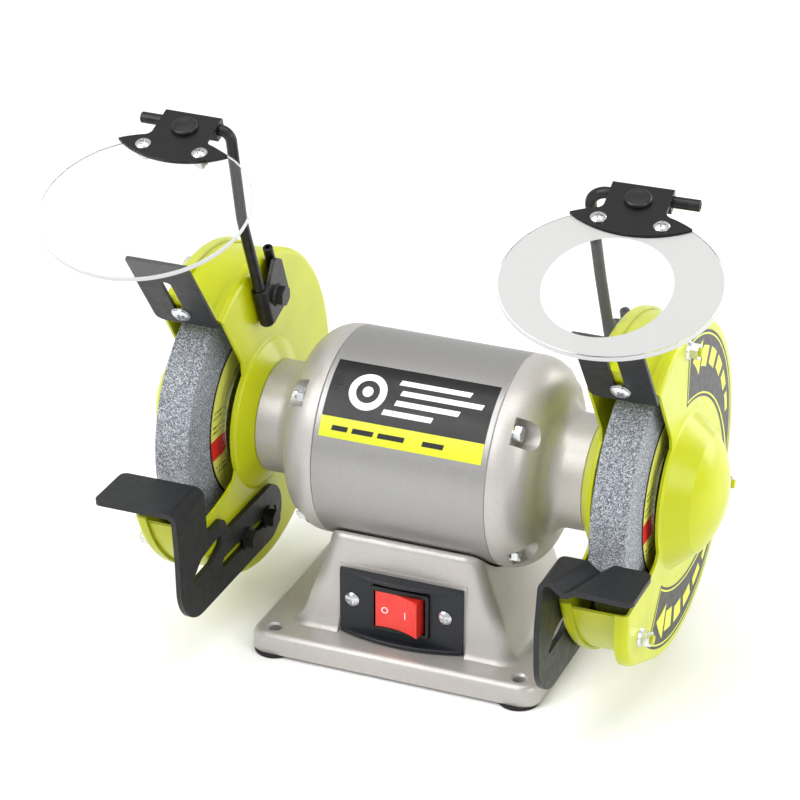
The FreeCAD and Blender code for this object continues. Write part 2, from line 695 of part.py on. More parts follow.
def dish(face, step):
    """Round cover with a rolled lip; step is +1 when the lip points to +X."""
    rim = GUARD_R - EDGE_R
    bend = EDGE_R * (1 - math.cos(math.radians(45)))
    small = EDGE_R - SHEET
    inner_bend = SHEET + small * (1 - math.cos(math.radians(45)))
    return revolved([
        (face, 0), (face, rim),
        ("arc", (face + step * bend, GUARD_R - bend), (face + step * EDGE_R, GUARD_R)),
        (face + step * LIP, GUARD_R), (face + step * LIP, GUARD_R - SHEET),
        (face + step * EDGE_R, GUARD_R - SHEET),
        ("arc", (face + step * inner_bend, GUARD_R - inner_bend), (face + step * SHEET, rim)),
        (face + step * SHEET, 0)], GUARD_Y, GUARD_Z)


def mouth(x0, x1, set_back):
    """Opening for the work, ahead of the wheel."""
    top = (-51.6 + set_back, 189.3)
    corner = (-28.0 + set_back, 154.5)
    run = (top[0] - corner[0], top[1] - corner[1])
    beyond = (corner[0] + run[0] * 1.8, corner[1] + run[1] * 1.8)
    opening = prism_x([
        beyond, (-150, beyond[1]), (-150, 82.6), (-85, 83.2), (-66, 85.0, 60.0), (-52, 87.4, 20.0),
        (-42.6, 90.4, 4.0), (-37, 100), (-15, 96), (-15, 130), (-26.5 + set_back, 140),
        (corner[0], corner[1], 5.0)], x0, x1)
    return opening.cut(bar(MOUTH_R, x0 - 1, x1 + 1))


def inner_guard():
    cover = dish(GUARD_IN, 1).cut(bar(41.8, 90, 120))
    boss = revolved([
        (NECK_END, 20.0), (NECK_END, 31.6), (NECK_END + 0.5, 32.6), (GUARD_IN - 1.4, 41.6),
        ("arc", (GUARD_IN - 0.5, 42.5), (GUARD_IN, 43.2)), (GUARD_IN + SHEET, 43.2),
        (GUARD_IN + SHEET, 41.6), (NECK_END + SHEET, 31.2), (NECK_END + SHEET, 20.0)])
    tools = [mouth(99, 120, 0.0)]
    tools += [bar(3.1, 90, 120, y, z) for y, z in REST_BOLTS]
    tools += [bar(2.3, 90, 110, y, z) for y, z in mount_screw_centres()]
    return cut(fuse([cover, boss]), tools)


def dome_middle(base_x, base_r, top_x):
    """Half-way point of the arc from (base_x, base_r) that meets the axis squarely at top_x."""
    rise = top_x - base_x
    radius = (base_r ** 2 + rise ** 2) / (2 * rise)
    half = math.asin(base_r / radius) / 2
    return (top_x - radius * (1 - math.cos(half)), radius * math.sin(half))


def ear(inset):
    """Outline of the ear round the front nut, drawn tangent to the round cover and set in by inset."""
    front = -90.2 + inset
    rise = 0.44
    drop = inset * math.sqrt(1 + rise ** 2)
    corner = 52.0 + drop - rise * inset
    return [(front, 88.0), (front, corner, 29.0 - inset), (-38.4, 29.2 + drop), (-20, 60), (-60, 88.0)]


def rounded_ear(inset, x0, x1, radius):
    """Ear block from x0 to x1 with its outer edge rounded at x1."""
    block = prism_x(ear(inset), x0, x1)
    edges = []
    for edge in block.Edges:
        middle = edge.CenterOfMass
        outside = math.hypot(middle.y - GUARD_Y, middle.z - GUARD_Z) > 82.0 and middle.z < 87.5
        if edge.BoundBox.XMin > x1 - 0.01 and outside:
            edges.append(edge)
    return block.makeFillet(radius, edges)


def outer_guard(has_ear):
    """Dished cover with the hub dome; the right one also has an ear round its front nut."""
    body = dish(GUARD_OUT, -1).cut(bar(41.0, 130, 150))
    flare = 153.0
    flare_r = 31.5
    apex = 163.5
    hub = revolved([
        (GUARD_OUT - SHEET, 43.2), (GUARD_OUT, 43.2), ("arc", (GUARD_OUT + 0.5, 42.2), (GUARD_OUT + 1.4, 41.2)),
        (flare, flare_r), ("arc", dome_middle(flare, flare_r, apex), (apex, 0)), (apex - SHEET, 0),
        ("arc", dome_middle(flare - 0.9, flare_r - 1.4, apex - SHEET), (flare - 0.9, flare_r - 1.4)),
        (GUARD_OUT - SHEET, 40.6)])
    if has_ear:
        outside = rounded_ear(0.0, GUARD_OUT - LIP, GUARD_OUT, EDGE_R)
        inside = rounded_ear(SHEET, GUARD_OUT - LIP - 1, GUARD_OUT - SHEET, EDGE_R - SHEET)
        cover_hole = bar(GUARD_R - SHEET / 2, 130, GUARD_OUT - SHEET, GUARD_Y, GUARD_Z)
        body = body.fuse(outside.cut(cover_hole)).cut(inside)
    tools = [mouth(120, 145, 2.5)] + [bar(2.6, 130, 150, y, z) for y, z in GUARD_STUDS]
    return cut(fuse([body, hub]), tools)


def guard_band():
    """Strip that closes the round wall between the two covers, with the arrestor tab."""
    inner_end = GUARD_IN + 2.9
    outer_end = GUARD_OUT - 2.9
    strip = ring(GUARD_R - SHEET - 0.2, GUARD_R - 2 * SHEET - 0.2, inner_end, outer_end, GUARD_Y, GUARD_Z)
    low = math.radians(MOUTH_LOW_ANGLE)
    start = radial_point(0, 2.0)
    above = radial_point(200, 2.0)
    below = (GUARD_Y - 200 * math.cos(low), GUARD_Z - 200 * math.sin(low))
    gap = prism_x([start, above, (-260, above[1]), (-260, below[1]), below, (GUARD_Y, GUARD_Z)], 90, 150)
    strip = strip.cut(gap)

    def tab(x0, x1, r0, r1):
        corners = [radial_point(r0, 2.0), radial_point(r1, 2.0), radial_point(r1, 3.6), radial_point(r0, 3.6)]
        return prism_x(corners, x0, x1)

    flange = fuse([tab(109, 131, 89.9, 95.0), tab(104, 137, 94.2, 112.0)])
    axis = vec(0, *BEHIND)
    hole = Part.makeCylinder(2.6, 20, vec(122, *radial_point(ARRESTOR_SCREW, -5)), axis)
    return fuse([strip, flange]).cut(hole)


def guard_studs():
    """Studs welded inside the inner guard, which the outer guard is bolted to."""
    root = GUARD_IN + SHEET
    solids = []
    for y, z in GUARD_STUDS:
        stud = fuse([bar(2.5, root, GUARD_OUT + 7.4, y, z), bar(4.0, root, root + 1.2, y, z)])
        ends = [e for e in stud.Edges if e.BoundBox.XMin > GUARD_OUT + 7.3]
        solids.append(stud.makeFillet(0.5, ends))
    return group(solids + [mirror(s) for s in solids])


def guard_nuts():
    nut = hex_nut(2.52, 8.0, 4.4, 1.4)
    solids = [aimed(nut, vec(GUARD_OUT, y, z), X_AXIS) for y, z in GUARD_STUDS]
    return group(solids + [mirror(s) for s in solids])


def guard_mount_screws():
    screw = cross_screw(4.2, 2.6, 2.0, 11.0)
    solids = [aimed(screw, vec(NECK_END + SHEET, y, z), X_AXIS) for y, z in mount_screw_centres()]
    return group(solids + [mirror(s) for s in solids])


# ---------------------------------------------------------------- spark arrestors
ARRESTOR_IN = 103.8
ARRESTOR_OUT = 139.8
ARRESTOR_SLOT_X = 122.0
ARRESTOR_T = 2.0


def spark_arrestor(side):
    """Slotted plate, the same part on both sides: its low corner at -X is cut round."""
    xs = sorted((side * ARRESTOR_IN, side * ARRESTOR_OUT))
    plate = prism_z([(xs[0], ARRESTOR_LOW, 5.0), (xs[1], ARRESTOR_LOW, 0.6), (xs[1], ARRESTOR_HIGH, 1.5),
                     (xs[0], ARRESTOR_HIGH, 1.5)], -ARRESTOR_T, 0)
    middle = side * ARRESTOR_SLOT_X
    slot = prism_z([(middle - 2.9, 95.0, 2.8), (middle + 2.9, 95.0, 2.8), (middle + 2.9, 131.0, 2.8),
                    (middle - 2.9, 131.0, 2.8)], -5, 5)
    return placed(plate.cut(slot), vec(0, 0, SPINDLE_Z), X_AXIS, vec(0, *RADIAL), vec(0, -BEHIND[0], -BEHIND[1]))


def arrestor_screws():
    front = vec(0, -BEHIND[0], -BEHIND[1])
    screw = cross_screw(5.0, 2.6, 2.5, 11.0)
    washer = Part.makeCylinder(5.4, 0.8).cut(Part.makeCylinder(2.55, 2, vec(0, 0, -0.5)))
    nut = hex_nut(2.52, 8.0, 3.6)
    solids = []
    for side in (-1, 1):
        y, z = radial_point(ARRESTOR_SCREW, -0.85)
        solids.append(aimed(screw, vec(side * ARRESTOR_SLOT_X, y, z), front))
        y, z = radial_point(ARRESTOR_SCREW, -0.05)
        solids.append(aimed(washer, vec(side * ARRESTOR_SLOT_X, y, z), front))
        y, z = radial_point(ARRESTOR_SCREW, 3.6)
        solids.append(aimed(nut, vec(side * ARRESTOR_SLOT_X, y, z), vec(0, *BEHIND)))
    return group(solids)


# ---------------------------------------------------------------- tool rests
BEND_R = 6.0


def leg_plate(shift, front_top):
    """Side plate of a rest in (y, z): leg, arm and bump, with its two slots."""
    high = REST_TOP - BEND_R
    low = 34.5
    arm = 68.3
    plate = prism_x([
        (front_top + shift, high), (-117.6 + shift, 80), (-116.0 + shift, low, 26.0), (11.5 + shift, low, 16.5),
        (11.5 + shift, arm, 16.5), (-59 + shift, arm, 6.0), (-62 + shift, 78.6, 8.0), (-84 + shift, 78.6, 5.0),
        (-85.5 + shift, high)], REST_LEG, REST_LEG + REST_T)
    window = prism_x([(-105 + shift, 57.5, 1.5), (-80 + shift, 58.5, 10.0), (-65.5 + shift, 64.5, 3.5),
                      (-68 + shift, 70.5, 3.5), (-92 + shift, 67.5, 8.0)], 90, 110)
    ends = (-66 + shift, 4 + shift)
    slot = prism_x([(ends[0], 48, 2.95), (ends[1], 48, 2.95), (ends[1], 54, 2.95), (ends[0], 54, 2.95)], 90, 110)
    return cut(plate, [window, slot])


def bend(y0, y1):
    """Quarter bend from the leg to the level plate, along Y."""
    high = REST_TOP - BEND_R
    corner = (REST_LEG + BEND_R, high)
    outer = Part.makeCylinder(BEND_R, y1 - y0, vec(corner[0], y0, corner[1]), vec(0, 1, 0))
    inner = Part.makeCylinder(BEND_R - REST_T, y1 - y0, vec(corner[0], y0, corner[1]), vec(0, 1, 0))
    quarter = box((REST_LEG, y0, high), (corner[0], y1, REST_TOP))
    return outer.cut(inner).common(quarter)


def left_tool_rest():
    plate_in = REST_LEG + BEND_R
    plate = prism_z([(plate_in, -119.8), (147, -119.8, 4.0), (147, -85.5, 4.0), (plate_in, -85.5)],
                    REST_TOP - REST_T, REST_TOP)
    return mirror(fuse([leg_plate(0.0, -119.8), bend(-119.8, -85.5), plate]))


def right_tool_rest():
    """Rest with a slanting V groove for holding a drill bit."""
    plate_in = REST_LEG + BEND_R
    high = REST_TOP - BEND_R
    shift = 3.0
    front = -110.5
    back = -82.5
    half = 6.6
    depth = 5.4
    slope = half / depth
    under = REST_T * math.sqrt(1 + 1 / slope ** 2)
    side = 60.0
    low = REST_TOP - REST_T
    toe = (REST_TOP - depth - under)
    under_half = (low - toe) * slope
    sheet = prism_y([(-side, REST_TOP), (-half, REST_TOP, 1.2), (0, REST_TOP - depth, 1.5), (half, REST_TOP, 1.2),
                     (side, REST_TOP), (side, low), (under_half, low, 2.0), (0, toe, 3.0),
                     (-under_half, low, 2.0), (-side, low)], -60, 60)
    sheet.rotate(ORIGIN, Z_AXIS, -19.0)
    sheet.translate(vec(117.6, -96.5, 0))
    blank = prism_z([(plate_in, front), (117.4, front, 1.0), (117.4, -114.8, 2.5), (150.4, -116.4, 4.0),
                     (150.4, back, 5.0), (plate_in, back)], 80, 120)
    return fuse([leg_plate(shift, front - shift), bend(front, back), sheet.common(blank)])


def rest_bolts():
    bolt = hex_bolt(2.9, 12.5, 10.0, 4.2)
    washer = Part.makeCylinder(6.6, 1.4).cut(Part.makeCylinder(3.0, 4, vec(0, 0, -1)))
    nut = hex_nut(2.92, 10.0, 4.8)
    solids = []
    for y, z in REST_BOLTS:
        solids.append(aimed(washer, vec(REST_LEG - 0.08, y, z), vec(-1, 0, 0)))
        solids.append(aimed(bolt, vec(REST_LEG - 1.5, y, z), vec(-1, 0, 0)))
        solids.append(aimed(nut, vec(GUARD_IN + SHEET, y, z), X_AXIS))
    return group(solids + [mirror(s) for s in solids])


# ---------------------------------------------------------------- eye shields
SLEEVE_R = 4.25
SLEEVE_HALF = 13.0
CLAMP_BOLT = (9.8, -0.3)        # behind and along the rod, from the middle of the sleeve
PIN_BEHIND = 20.5


def rod_frame(data):
    """Point on the rod inside the clamp, direction up the rod and direction behind it, as (y, z)."""
    low = data["low"]
    knee = data["knee"]
    length = math.hypot(knee[0] - low[0], knee[1] - low[1])
    up = ((knee[0] - low[0]) / length, (knee[1] - low[1]) / length)
    back = (up[1], -up[0])
    return low, up, back


def clamp_point(data, behind, along):
    low, up, back = rod_frame(data)
    return (low[0] + behind * back[0] + along * up[0], low[1] + behind * back[1] + along * up[1])


def rod_tube(data, radius, start, end, x=ROD_X, behind=0.0):
    _, up, _ = rod_frame(data)
    y, z = clamp_point(data, behind, start)
    return Part.makeCylinder(radius, end - start, vec(x, y, z), vec(0, *up))


def shield_clamp(data):
    """Sheet folded round the rod and bolted flat against the inner guard."""
    sleeve = rod_tube(data, SLEEVE_R, -SLEEVE_HALF, SLEEVE_HALF - 0.5)
    ends = [e for e in sleeve.Edges if e.Length > 20]
    sleeve = sleeve.makeFillet(1.2, ends)
    leaf_corners = [(0, 12.4), (4.5, 12.4), (17.0, 21.0, 2.5), (22.8, 14.5, 3.0), (22.9, -13.4, 4.0), (5, -12.6),
                    (0, -12.6)]
    corners = []
    for corner in leaf_corners:
        corners.append(clamp_point(data, corner[0], corner[1]) + tuple(corner[2:]))
    leaf = prism_x(corners, ROD_X - SLEEVE_R, ROD_X - SLEEVE_R + 2.4)
    y, z = clamp_point(data, *CLAMP_BOLT)
    spacer = bar(5.0, ROD_X - SLEEVE_R + 2.4, GUARD_IN - 0.05, y, z)
    body = fuse([sleeve, leaf, spacer])
    return cut(body, [rod_tube(data, ROD_R + FIT, -11.9, 40), bar(3.05, 80, 120, y, z)])


def shield_clamps():
    return group([to_side(shield_clamp(d), d["side"]) for d in SHIELDS.values()])


def clamp_bolts():
    solids = []
    for data in SHIELDS.values():
        y, z = clamp_point(data, *CLAMP_BOLT)
        bolt = hex_bolt(2.95, 17.0, 10.0, 4.0, 1.2)
        nut = hex_nut(2.97, 8.0, 4.6)
        head = ROD_X - SLEEVE_R
        solids.append(to_side(aimed(bolt, vec(head, y, z), vec(-1, 0, 0)), data["side"]))
        solids.append(to_side(aimed(nut, vec(GUARD_IN + SHEET, y, z), X_AXIS), data["side"]))
    return group(solids)


def clamp_pins():
    solids = []
    for data in SHIELDS.values():
        pin = rod_tube(data, 2.8, -8, 24.5, GUARD_IN - 2.9, PIN_BEHIND)
        pin = pin.makeFillet(0.6, [e for e in pin.Edges if e.Length > 12])
        hollow = rod_tube(data, 1.5, 21.5, 26, GUARD_IN - 2.9, PIN_BEHIND)
        solids.append(to_side(pin.cut(hollow), data["side"]))
    return group(solids)


def bent_rod(points, radii, radius):
    """Round rod through the points, with tangent bends of the given centre line radii."""
    edges = []
    start = points[0]
    for here, after, turn in zip(points[1:], points[2:], radii):
        back = (start - here).normalize()
        ahead = (after - here).normalize()
        half = back.getAngle(ahead) / 2
        reach = turn / math.tan(half)
        centre = here + (back + ahead).normalize() * (turn / math.sin(half))
        first = here + back * reach
        last = here + ahead * reach
        near = centre + (here - centre).normalize() * turn
        edges.append(Part.LineSegment(start, first).toShape())
        edges.append(Part.Arc(first, near, last).toShape())
        start = last
    edges.append(Part.LineSegment(start, points[-1]).toShape())
    path = Part.Wire(edges)
    profile = Part.Wire([Part.makeCircle(radius, points[0], points[1] - points[0])])
    return path.makePipeShell([profile], True, False)


def shield_frame(name):
    """Bracket centre and directions: u along the rod's level arm, v up towards it, n square to the lens."""
    data = SHIELDS[name]
    twist = math.radians(data["twist"])
    slope = math.radians(data["slope"])
    turn = math.radians(data["turn"])
    level = vec(math.cos(twist), 0, math.sin(twist))
    uphill = vec(0, math.cos(slope), math.sin(slope))
    uphill = (uphill - level * level.dot(uphill)).normalize()
    u = level * math.cos(turn) + uphill * math.sin(turn)
    v = uphill * math.cos(turn) - level * math.sin(turn)
    hinge = vec(data["centre"], *data["top"])
    return hinge - v * SHIELD_REACH, u, v, u.cross(v)


def arm_point(name, x):
    """Point at x on the axis of the rod's level arm."""
    data = SHIELDS[name]
    _, u, _, _ = shield_frame(name)
    hinge = vec(data["centre"], *data["top"])
    return hinge + u * ((x - data["centre"]) / u.x)


def shield_rod(name):
    data = SHIELDS[name]
    x = data["side"] * ROD_X
    foot = clamp_point(data, 0.0, -11.5)
    tip = arm_point(name, data["side"] * data["end"])
    points = [vec(x, *foot), vec(x, *data["knee"]), arm_point(name, x), tip]
    rod = bent_rod(points, (34.0, data["bend"]), ROD_R)
    rod = Part.Solid(rod) if rod.ShapeType != "Solid" else rod
    rod = rod.makeFillet(0.6, [e for e in rod.Edges if e.CenterOfMass.distanceToPoint(tip) < 0.1])
    outward = (tip - points[2]).normalize()
    return rod.cut(Part.makeCylinder(1.6, 4.0, tip - outward * 3.0, outward))


LENS_LOW = 0.5
LENS_HIGH = 3.05
BRACKET_HIGH = 4.85
EYE_X = 15.7
EYE_V = 43.5
BUTTON_V = SHIELD_REACH - 8.4


def shield_bracket(name):
    """Crescent on the lens edge, neck, and a fold round the rod."""
    neck = 15.6

    def place(p):
        return vec(p.x, p.y, LENS_HIGH)

    tip = 30.5
    tip_v = math.sqrt(SHIELD_R ** 2 - tip ** 2)
    edge = 19.0
    edge_v = math.sqrt(SHIELD_R ** 2 - edge ** 2)
    mid = (tip + edge) / 2
    mid_v = math.sqrt(SHIELD_R ** 2 - mid ** 2)

    def arc(a, b, c):
        return Part.Arc(*[place(vec(p[0], p[1], 0)) for p in (a, b, c)]).toShape()

    def line(a, b):
        return Part.LineSegment(place(vec(a[0], a[1], 0)), place(vec(b[0], b[1], 0))).toShape()

    corner = (neck + 1.0, edge_v + 1.4)
    top = SHIELD_REACH
    edges = [arc((-tip, tip_v), (0, 34.5), (tip, tip_v)), arc((tip, tip_v), (mid, mid_v), (edge, edge_v)),
             arc((edge, edge_v), corner, (neck, edge_v + 4.0)), line((neck, edge_v + 4.0), (neck, top)),
             line((neck, top), (-neck, top)), line((-neck, top), (-neck, edge_v + 4.0)),
             arc((-neck, edge_v + 4.0), (-corner[0], corner[1]), (-edge, edge_v)),
             arc((-edge, edge_v), (-mid, mid_v), (-tip, tip_v))]
    plate = Part.Face(Part.Wire(edges)).extrude(vec(0, 0, BRACKET_HIGH - LENS_HIGH))
    fold = box((-neck, top - 4.9, -4.9), (neck, top + 4.9, BRACKET_HIGH))
    long_edges = [e for e in fold.Edges if abs(e.Length - 2 * neck) < 0.01]
    fold = fold.makeFillet(2.0, long_edges)
    hole = Part.makeCylinder(2.05, 20, vec(0, 0, -5))
    holes = [hole.translated(vec(s * EYE_X, EYE_V, 0)) for s in (-1, 1)]
    body = cut(fuse([plate, fold]), holes)
    origin, u, v, n = shield_frame(name)
    body = placed(body, origin, u, v, n)
    bore = Part.makeCylinder(ROD_R + FIT, 60, arm_point(name, SHIELDS[name]["centre"] - 30), u)
    return body.cut(bore)


def shield_lens(name):
    offset = SHIELDS[name]["offset"]
    disc = Part.makeCylinder(SHIELD_R, LENS_HIGH - LENS_LOW, vec(offset, 0, LENS_LOW))
    disc = disc.makeFillet(0.6, [e for e in disc.Edges if e.Length > 100])
    hole = Part.makeCylinder(2.05, 20, vec(0, 0, -5))
    disc = cut(disc, [hole.translated(vec(s * EYE_X, EYE_V, 0)) for s in (-1, 1)])
    return placed(disc, *shield_frame(name))


def shield_screws(name):
    screw = cross_screw(4.1, 2.2, 2.0, 10.0)
    nut = hex_nut(2.02, 7.0, 3.0)
    solids = []
    for s in (-1, 1):
        solids.append(screw.translated(vec(s * EYE_X, EYE_V, BRACKET_HIGH)))
        solids.append(nut.translated(vec(s * EYE_X, EYE_V, LENS_LOW - 3.0)))
    return placed(group(solids), *shield_frame(name))


def shield_button(name):
    knob = Part.makeCylinder(7.0, 2.4, vec(0, BUTTON_V, BRACKET_HIGH))
    knob = knob.makeFillet(1.4, [e for e in knob.Edges if e.BoundBox.ZMin > BRACKET_HIGH + 2.3])
    ball = Part.makeSphere(20.0, vec(0, BUTTON_V, BRACKET_HIGH + 21.8))
    return placed(knob.cut(ball), *shield_frame(name))


# ---------------------------------------------------------------- the whole grinder
def nodes():
    made = {
        "base_casting": base_casting(), "base_cover_plate": base_cover_plate(),
        "base_plate_screws": base_plate_screws(), "rubber_feet": rubber_feet(),
        "cable_gland": cable_gland(), "saddle_screws": saddle_screws(),
        "switch_plate": switch_plate(), "switch_housing": switch_housing(),
        "switch_rocker": switch_rocker(), "switch_screws": switch_screws(),
        "switch_terminals": switch_terminals(), "run_capacitor": run_capacitor(),
        "terminal_block": terminal_block(), "motor_shell": motor_shell(),
        "end_bell_screws": end_bell_screws(), "stator_core": stator_core(),
        "stator_windings": stator_windings(), "rotor_core": rotor_core(), "rotor_cage": rotor_cage(),
        "spindle": spindle(), "bearing_outer_rings": bearing_outer_rings(),
        "bearing_inner_rings": bearing_inner_rings(), "bearing_balls": bearing_balls(),
        "wave_washer": wave_washer(), "name_label": name_label(),
        "wheel_blotters": wheel_blotters(), "wheel_flanges": wheel_flanges(),
        "spindle_nuts": spindle_nuts(), "guard_studs": guard_studs(), "guard_nuts": guard_nuts(),
        "guard_mount_screws": guard_mount_screws(), "arrestor_screws": arrestor_screws(),
        "left_tool_rest": left_tool_rest(), "right_tool_rest": right_tool_rest(),
        "rest_bolts": rest_bolts(), "shield_clamps": shield_clamps(), "clamp_bolts": clamp_bolts(),
        "clamp_pins": clamp_pins(),
    }
    clamp_holes = {}
    for name, data in SHIELDS.items():
        y, z = clamp_point(data, *CLAMP_BOLT)
        clamp_holes[name] = bar(3.1, 95, 112, y, z)
    shared = {"end_bell": end_bell(), "wheel": wheel(), "guard_band": guard_band()}
    plain_guard = inner_guard()
    for name, side in (("left", -1), ("right", 1)):
        for part_name, shape in shared.items():
            made[name + "_" + part_name] = to_side(shape, side)
        made[name + "_outer_guard"] = to_side(outer_guard(side > 0), side)
        made[name + "_inner_guard"] = to_side(plain_guard.cut(clamp_holes[name]), side)
        made[name + "_spark_arrestor"] = spark_arrestor(side)
        made[name + "_shield_rod"] = shield_rod(name)
        made[name + "_shield_bracket"] = shield_bracket(name)
        made[name + "_shield_lens"] = shield_lens(name)
        made[name + "_shield_screws"] = shield_screws(name)
        made[name + "_shield_button"] = shield_button(name)
    return made


def main():
    os.makedirs("parts", exist_ok=True)
    for name, shape in nodes().items():
        solids = len(shape.Solids)
        print(name, "solids", solids, "valid", shape.isValid(), "volume", round(shape.Volume))
        shape.exportStep("parts/" + name + ".step")


main()
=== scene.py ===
import math
import bmesh
import bpy
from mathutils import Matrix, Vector
from mathutils.bvhtree import BVHTree


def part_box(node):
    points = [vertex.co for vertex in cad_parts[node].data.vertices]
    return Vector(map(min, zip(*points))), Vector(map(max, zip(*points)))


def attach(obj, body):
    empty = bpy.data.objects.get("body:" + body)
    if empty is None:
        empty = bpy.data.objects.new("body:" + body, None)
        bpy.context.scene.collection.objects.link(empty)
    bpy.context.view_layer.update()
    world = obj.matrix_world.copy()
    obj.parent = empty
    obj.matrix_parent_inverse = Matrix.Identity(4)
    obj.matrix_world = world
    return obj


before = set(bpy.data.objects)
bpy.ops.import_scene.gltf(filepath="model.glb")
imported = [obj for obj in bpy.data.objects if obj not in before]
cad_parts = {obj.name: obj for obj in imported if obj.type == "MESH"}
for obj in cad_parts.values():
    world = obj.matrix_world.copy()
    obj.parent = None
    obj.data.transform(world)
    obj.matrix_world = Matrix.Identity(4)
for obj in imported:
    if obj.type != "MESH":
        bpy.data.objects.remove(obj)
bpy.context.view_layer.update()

MM = 0.001

# Camera and light
CAMERA_AZIMUTH = 22.27
CAMERA_ELEVATION = 26.29
CAMERA_DISTANCE = 1.6217
CAMERA_LENS = 134.8
CAMERA_AIM = Vector((-0.0213, 0.0, 0.1349))
WORLD_LIGHT = 0.78
FLOOR_HALF = 6.0

# The spindle runs along X at this height, and the guards share one centre
SPINDLE_Z = (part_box("spindle")[0].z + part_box("spindle")[1].z) / 2
GUARD_LOW, GUARD_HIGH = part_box("right_outer_guard")
GUARD_CENTRE_Z = (GUARD_LOW.z + GUARD_HIGH.z) / 2
GUARD_R = (GUARD_HIGH.z - GUARD_LOW.z) / 2
GUARD_CENTRE_Y = GUARD_HIGH.y - GUARD_R


def srgb(red, green, blue, alpha=1.0):
    """Linear colour of a screen colour given as 0 to 255."""
    def linear(c):
        c /= 255.0
        return c / 12.92 if c <= 0.04045 else ((c + 0.055) / 1.055) ** 2.4
    return (linear(red), linear(green), linear(blue), alpha)


LIME = srgb(183, 190, 4)
LIME_PRINT = srgb(206, 214, 48)
INK_BLACK = srgb(24, 22, 23)


# ---------------------------------------------------------------- shader building
class Finish:
    """A node material round one Principled shader. Its texture coordinates are in millimetres."""

    def __init__(self, name, **settings):
        self.material = bpy.data.materials.new(name)
        self.material.use_nodes = True
        self.tree = self.material.node_tree
        self.shader = self.tree.nodes["Principled BSDF"]
        self.normal = None
        for key, value in settings.items():
            self.shader.inputs[key.replace("_", " ")].default_value = value
        place = self.add("ShaderNodeTexCoord")
        scaled = self.add("ShaderNodeVectorMath", operation="SCALE")
        scaled.inputs["Scale"].default_value = 1 / MM
        self.link(place.outputs["Object"], scaled.inputs[0])
        self.mm = scaled.outputs[0]

    def add(self, kind, **settings):
        made = self.tree.nodes.new(kind)
        for key, value in settings.items():
            setattr(made, key, value)
        return made

    def link(self, source, target):
        self.tree.links.new(source, target)

    def feed(self, value, socket):
        """Links a socket, or sets a plain number or colour."""
        if isinstance(value, bpy.types.NodeSocket):
            self.link(value, socket)
        else:
            socket.default_value = value

    def stretched(self, x, y, z):
        made = self.add("ShaderNodeVectorMath", operation="MULTIPLY")
        self.link(self.mm, made.inputs[0])
        made.inputs[1].default_value = (x, y, z)
        return made.outputs[0]

    def noise(self, size, detail=2.0, roughness=0.5, vector=None):
        """Noise with features about size millimetres across."""
        made = self.add("ShaderNodeTexNoise")
        self.link(vector or self.mm, made.inputs["Vector"])
        made.inputs["Scale"].default_value = 1 / size
        made.inputs["Detail"].default_value = detail
        made.inputs["Roughness"].default_value = roughness
        return made.outputs[0]

    def cells(self, size, output="Color", feature="F1", vector=None):
        made = self.add("ShaderNodeTexVoronoi", feature=feature)
        self.link(vector or self.mm, made.inputs["Vector"])
        made.inputs["Scale"].default_value = 1 / size
        return made.outputs[output]

    def calc(self, operation, a, b=0.0, c=0.0, clamp=False):
        made = self.add("ShaderNodeMath", operation=operation, use_clamp=clamp)
        for value, socket in zip((a, b, c), made.inputs):
            self.feed(value, socket)
        return made.outputs[0]

    def spread(self, value, low, high, to_low=0.0, to_high=1.0):
        made = self.add("ShaderNodeMapRange", clamp=True)
        for given, socket in zip((value, low, high, to_low, to_high), made.inputs):
            self.feed(given, socket)
        return made.outputs[0]

    def ramp(self, value, stops, steps=False):
        made = self.add("ShaderNodeValToRGB")
        made.color_ramp.interpolation = "CONSTANT" if steps else "LINEAR"
        elements = made.color_ramp.elements
        for _ in range(len(stops) - 2):
            elements.new(0.5)
        for element, (position, colour) in zip(elements, stops):
            element.position = position
            element.color = colour
        self.link(value, made.inputs[0])
        return made.outputs[0]

    def mix(self, factor, a, b):
        """Colour a where factor is 0, b where it is 1."""
        made = self.add("ShaderNodeMix", data_type="RGBA")
        self.feed(factor, made.inputs["Factor"])
        colours = [s for s in made.inputs if s.type == "RGBA"]
        self.feed(a, colours[0])
        self.feed(b, colours[1])
        return [s for s in made.outputs if s.type == "RGBA"][0]

    def axis(self, name):
        made = self.add("ShaderNodeSeparateXYZ")
        self.link(self.mm, made.inputs[0])
        return made.outputs[name]

    def rounded(self, radius):
        """Shades sharp edges as if they were rounded to this radius in millimetres."""
        made = self.add("ShaderNodeBevel", samples=4)
        made.inputs["Radius"].default_value = radius * MM
        self.normal = made.outputs[0]

    def bump(self, height, depth, strength=1.0):
        made = self.add("ShaderNodeBump")
        made.inputs["Strength"].default_value = strength
        made.inputs["Distance"].default_value = depth * MM
        self.link(height, made.inputs["Height"])
        if self.normal is not None:
            self.link(self.normal, made.inputs["Normal"])
        self.normal = made.outputs[0]

    def done(self, colour=None, roughness=None, metallic=None):
        for value, name in ((colour, "Base Color"), (roughness, "Roughness"), (metallic, "Metallic")):
            if value is not None:
                self.feed(value, self.shader.inputs[name])
        if self.normal is not None:
            self.link(self.normal, self.shader.inputs["Normal"])
        return self.material


def shade(colour, gain):
    return tuple(min(1.0, c * gain) for c in colour[:3]) + (1.0,)


# ---------------------------------------------------------------- finishes
SILVER = srgb(184, 180, 176)
SHELL_SILVER = srgb(158, 157, 155)


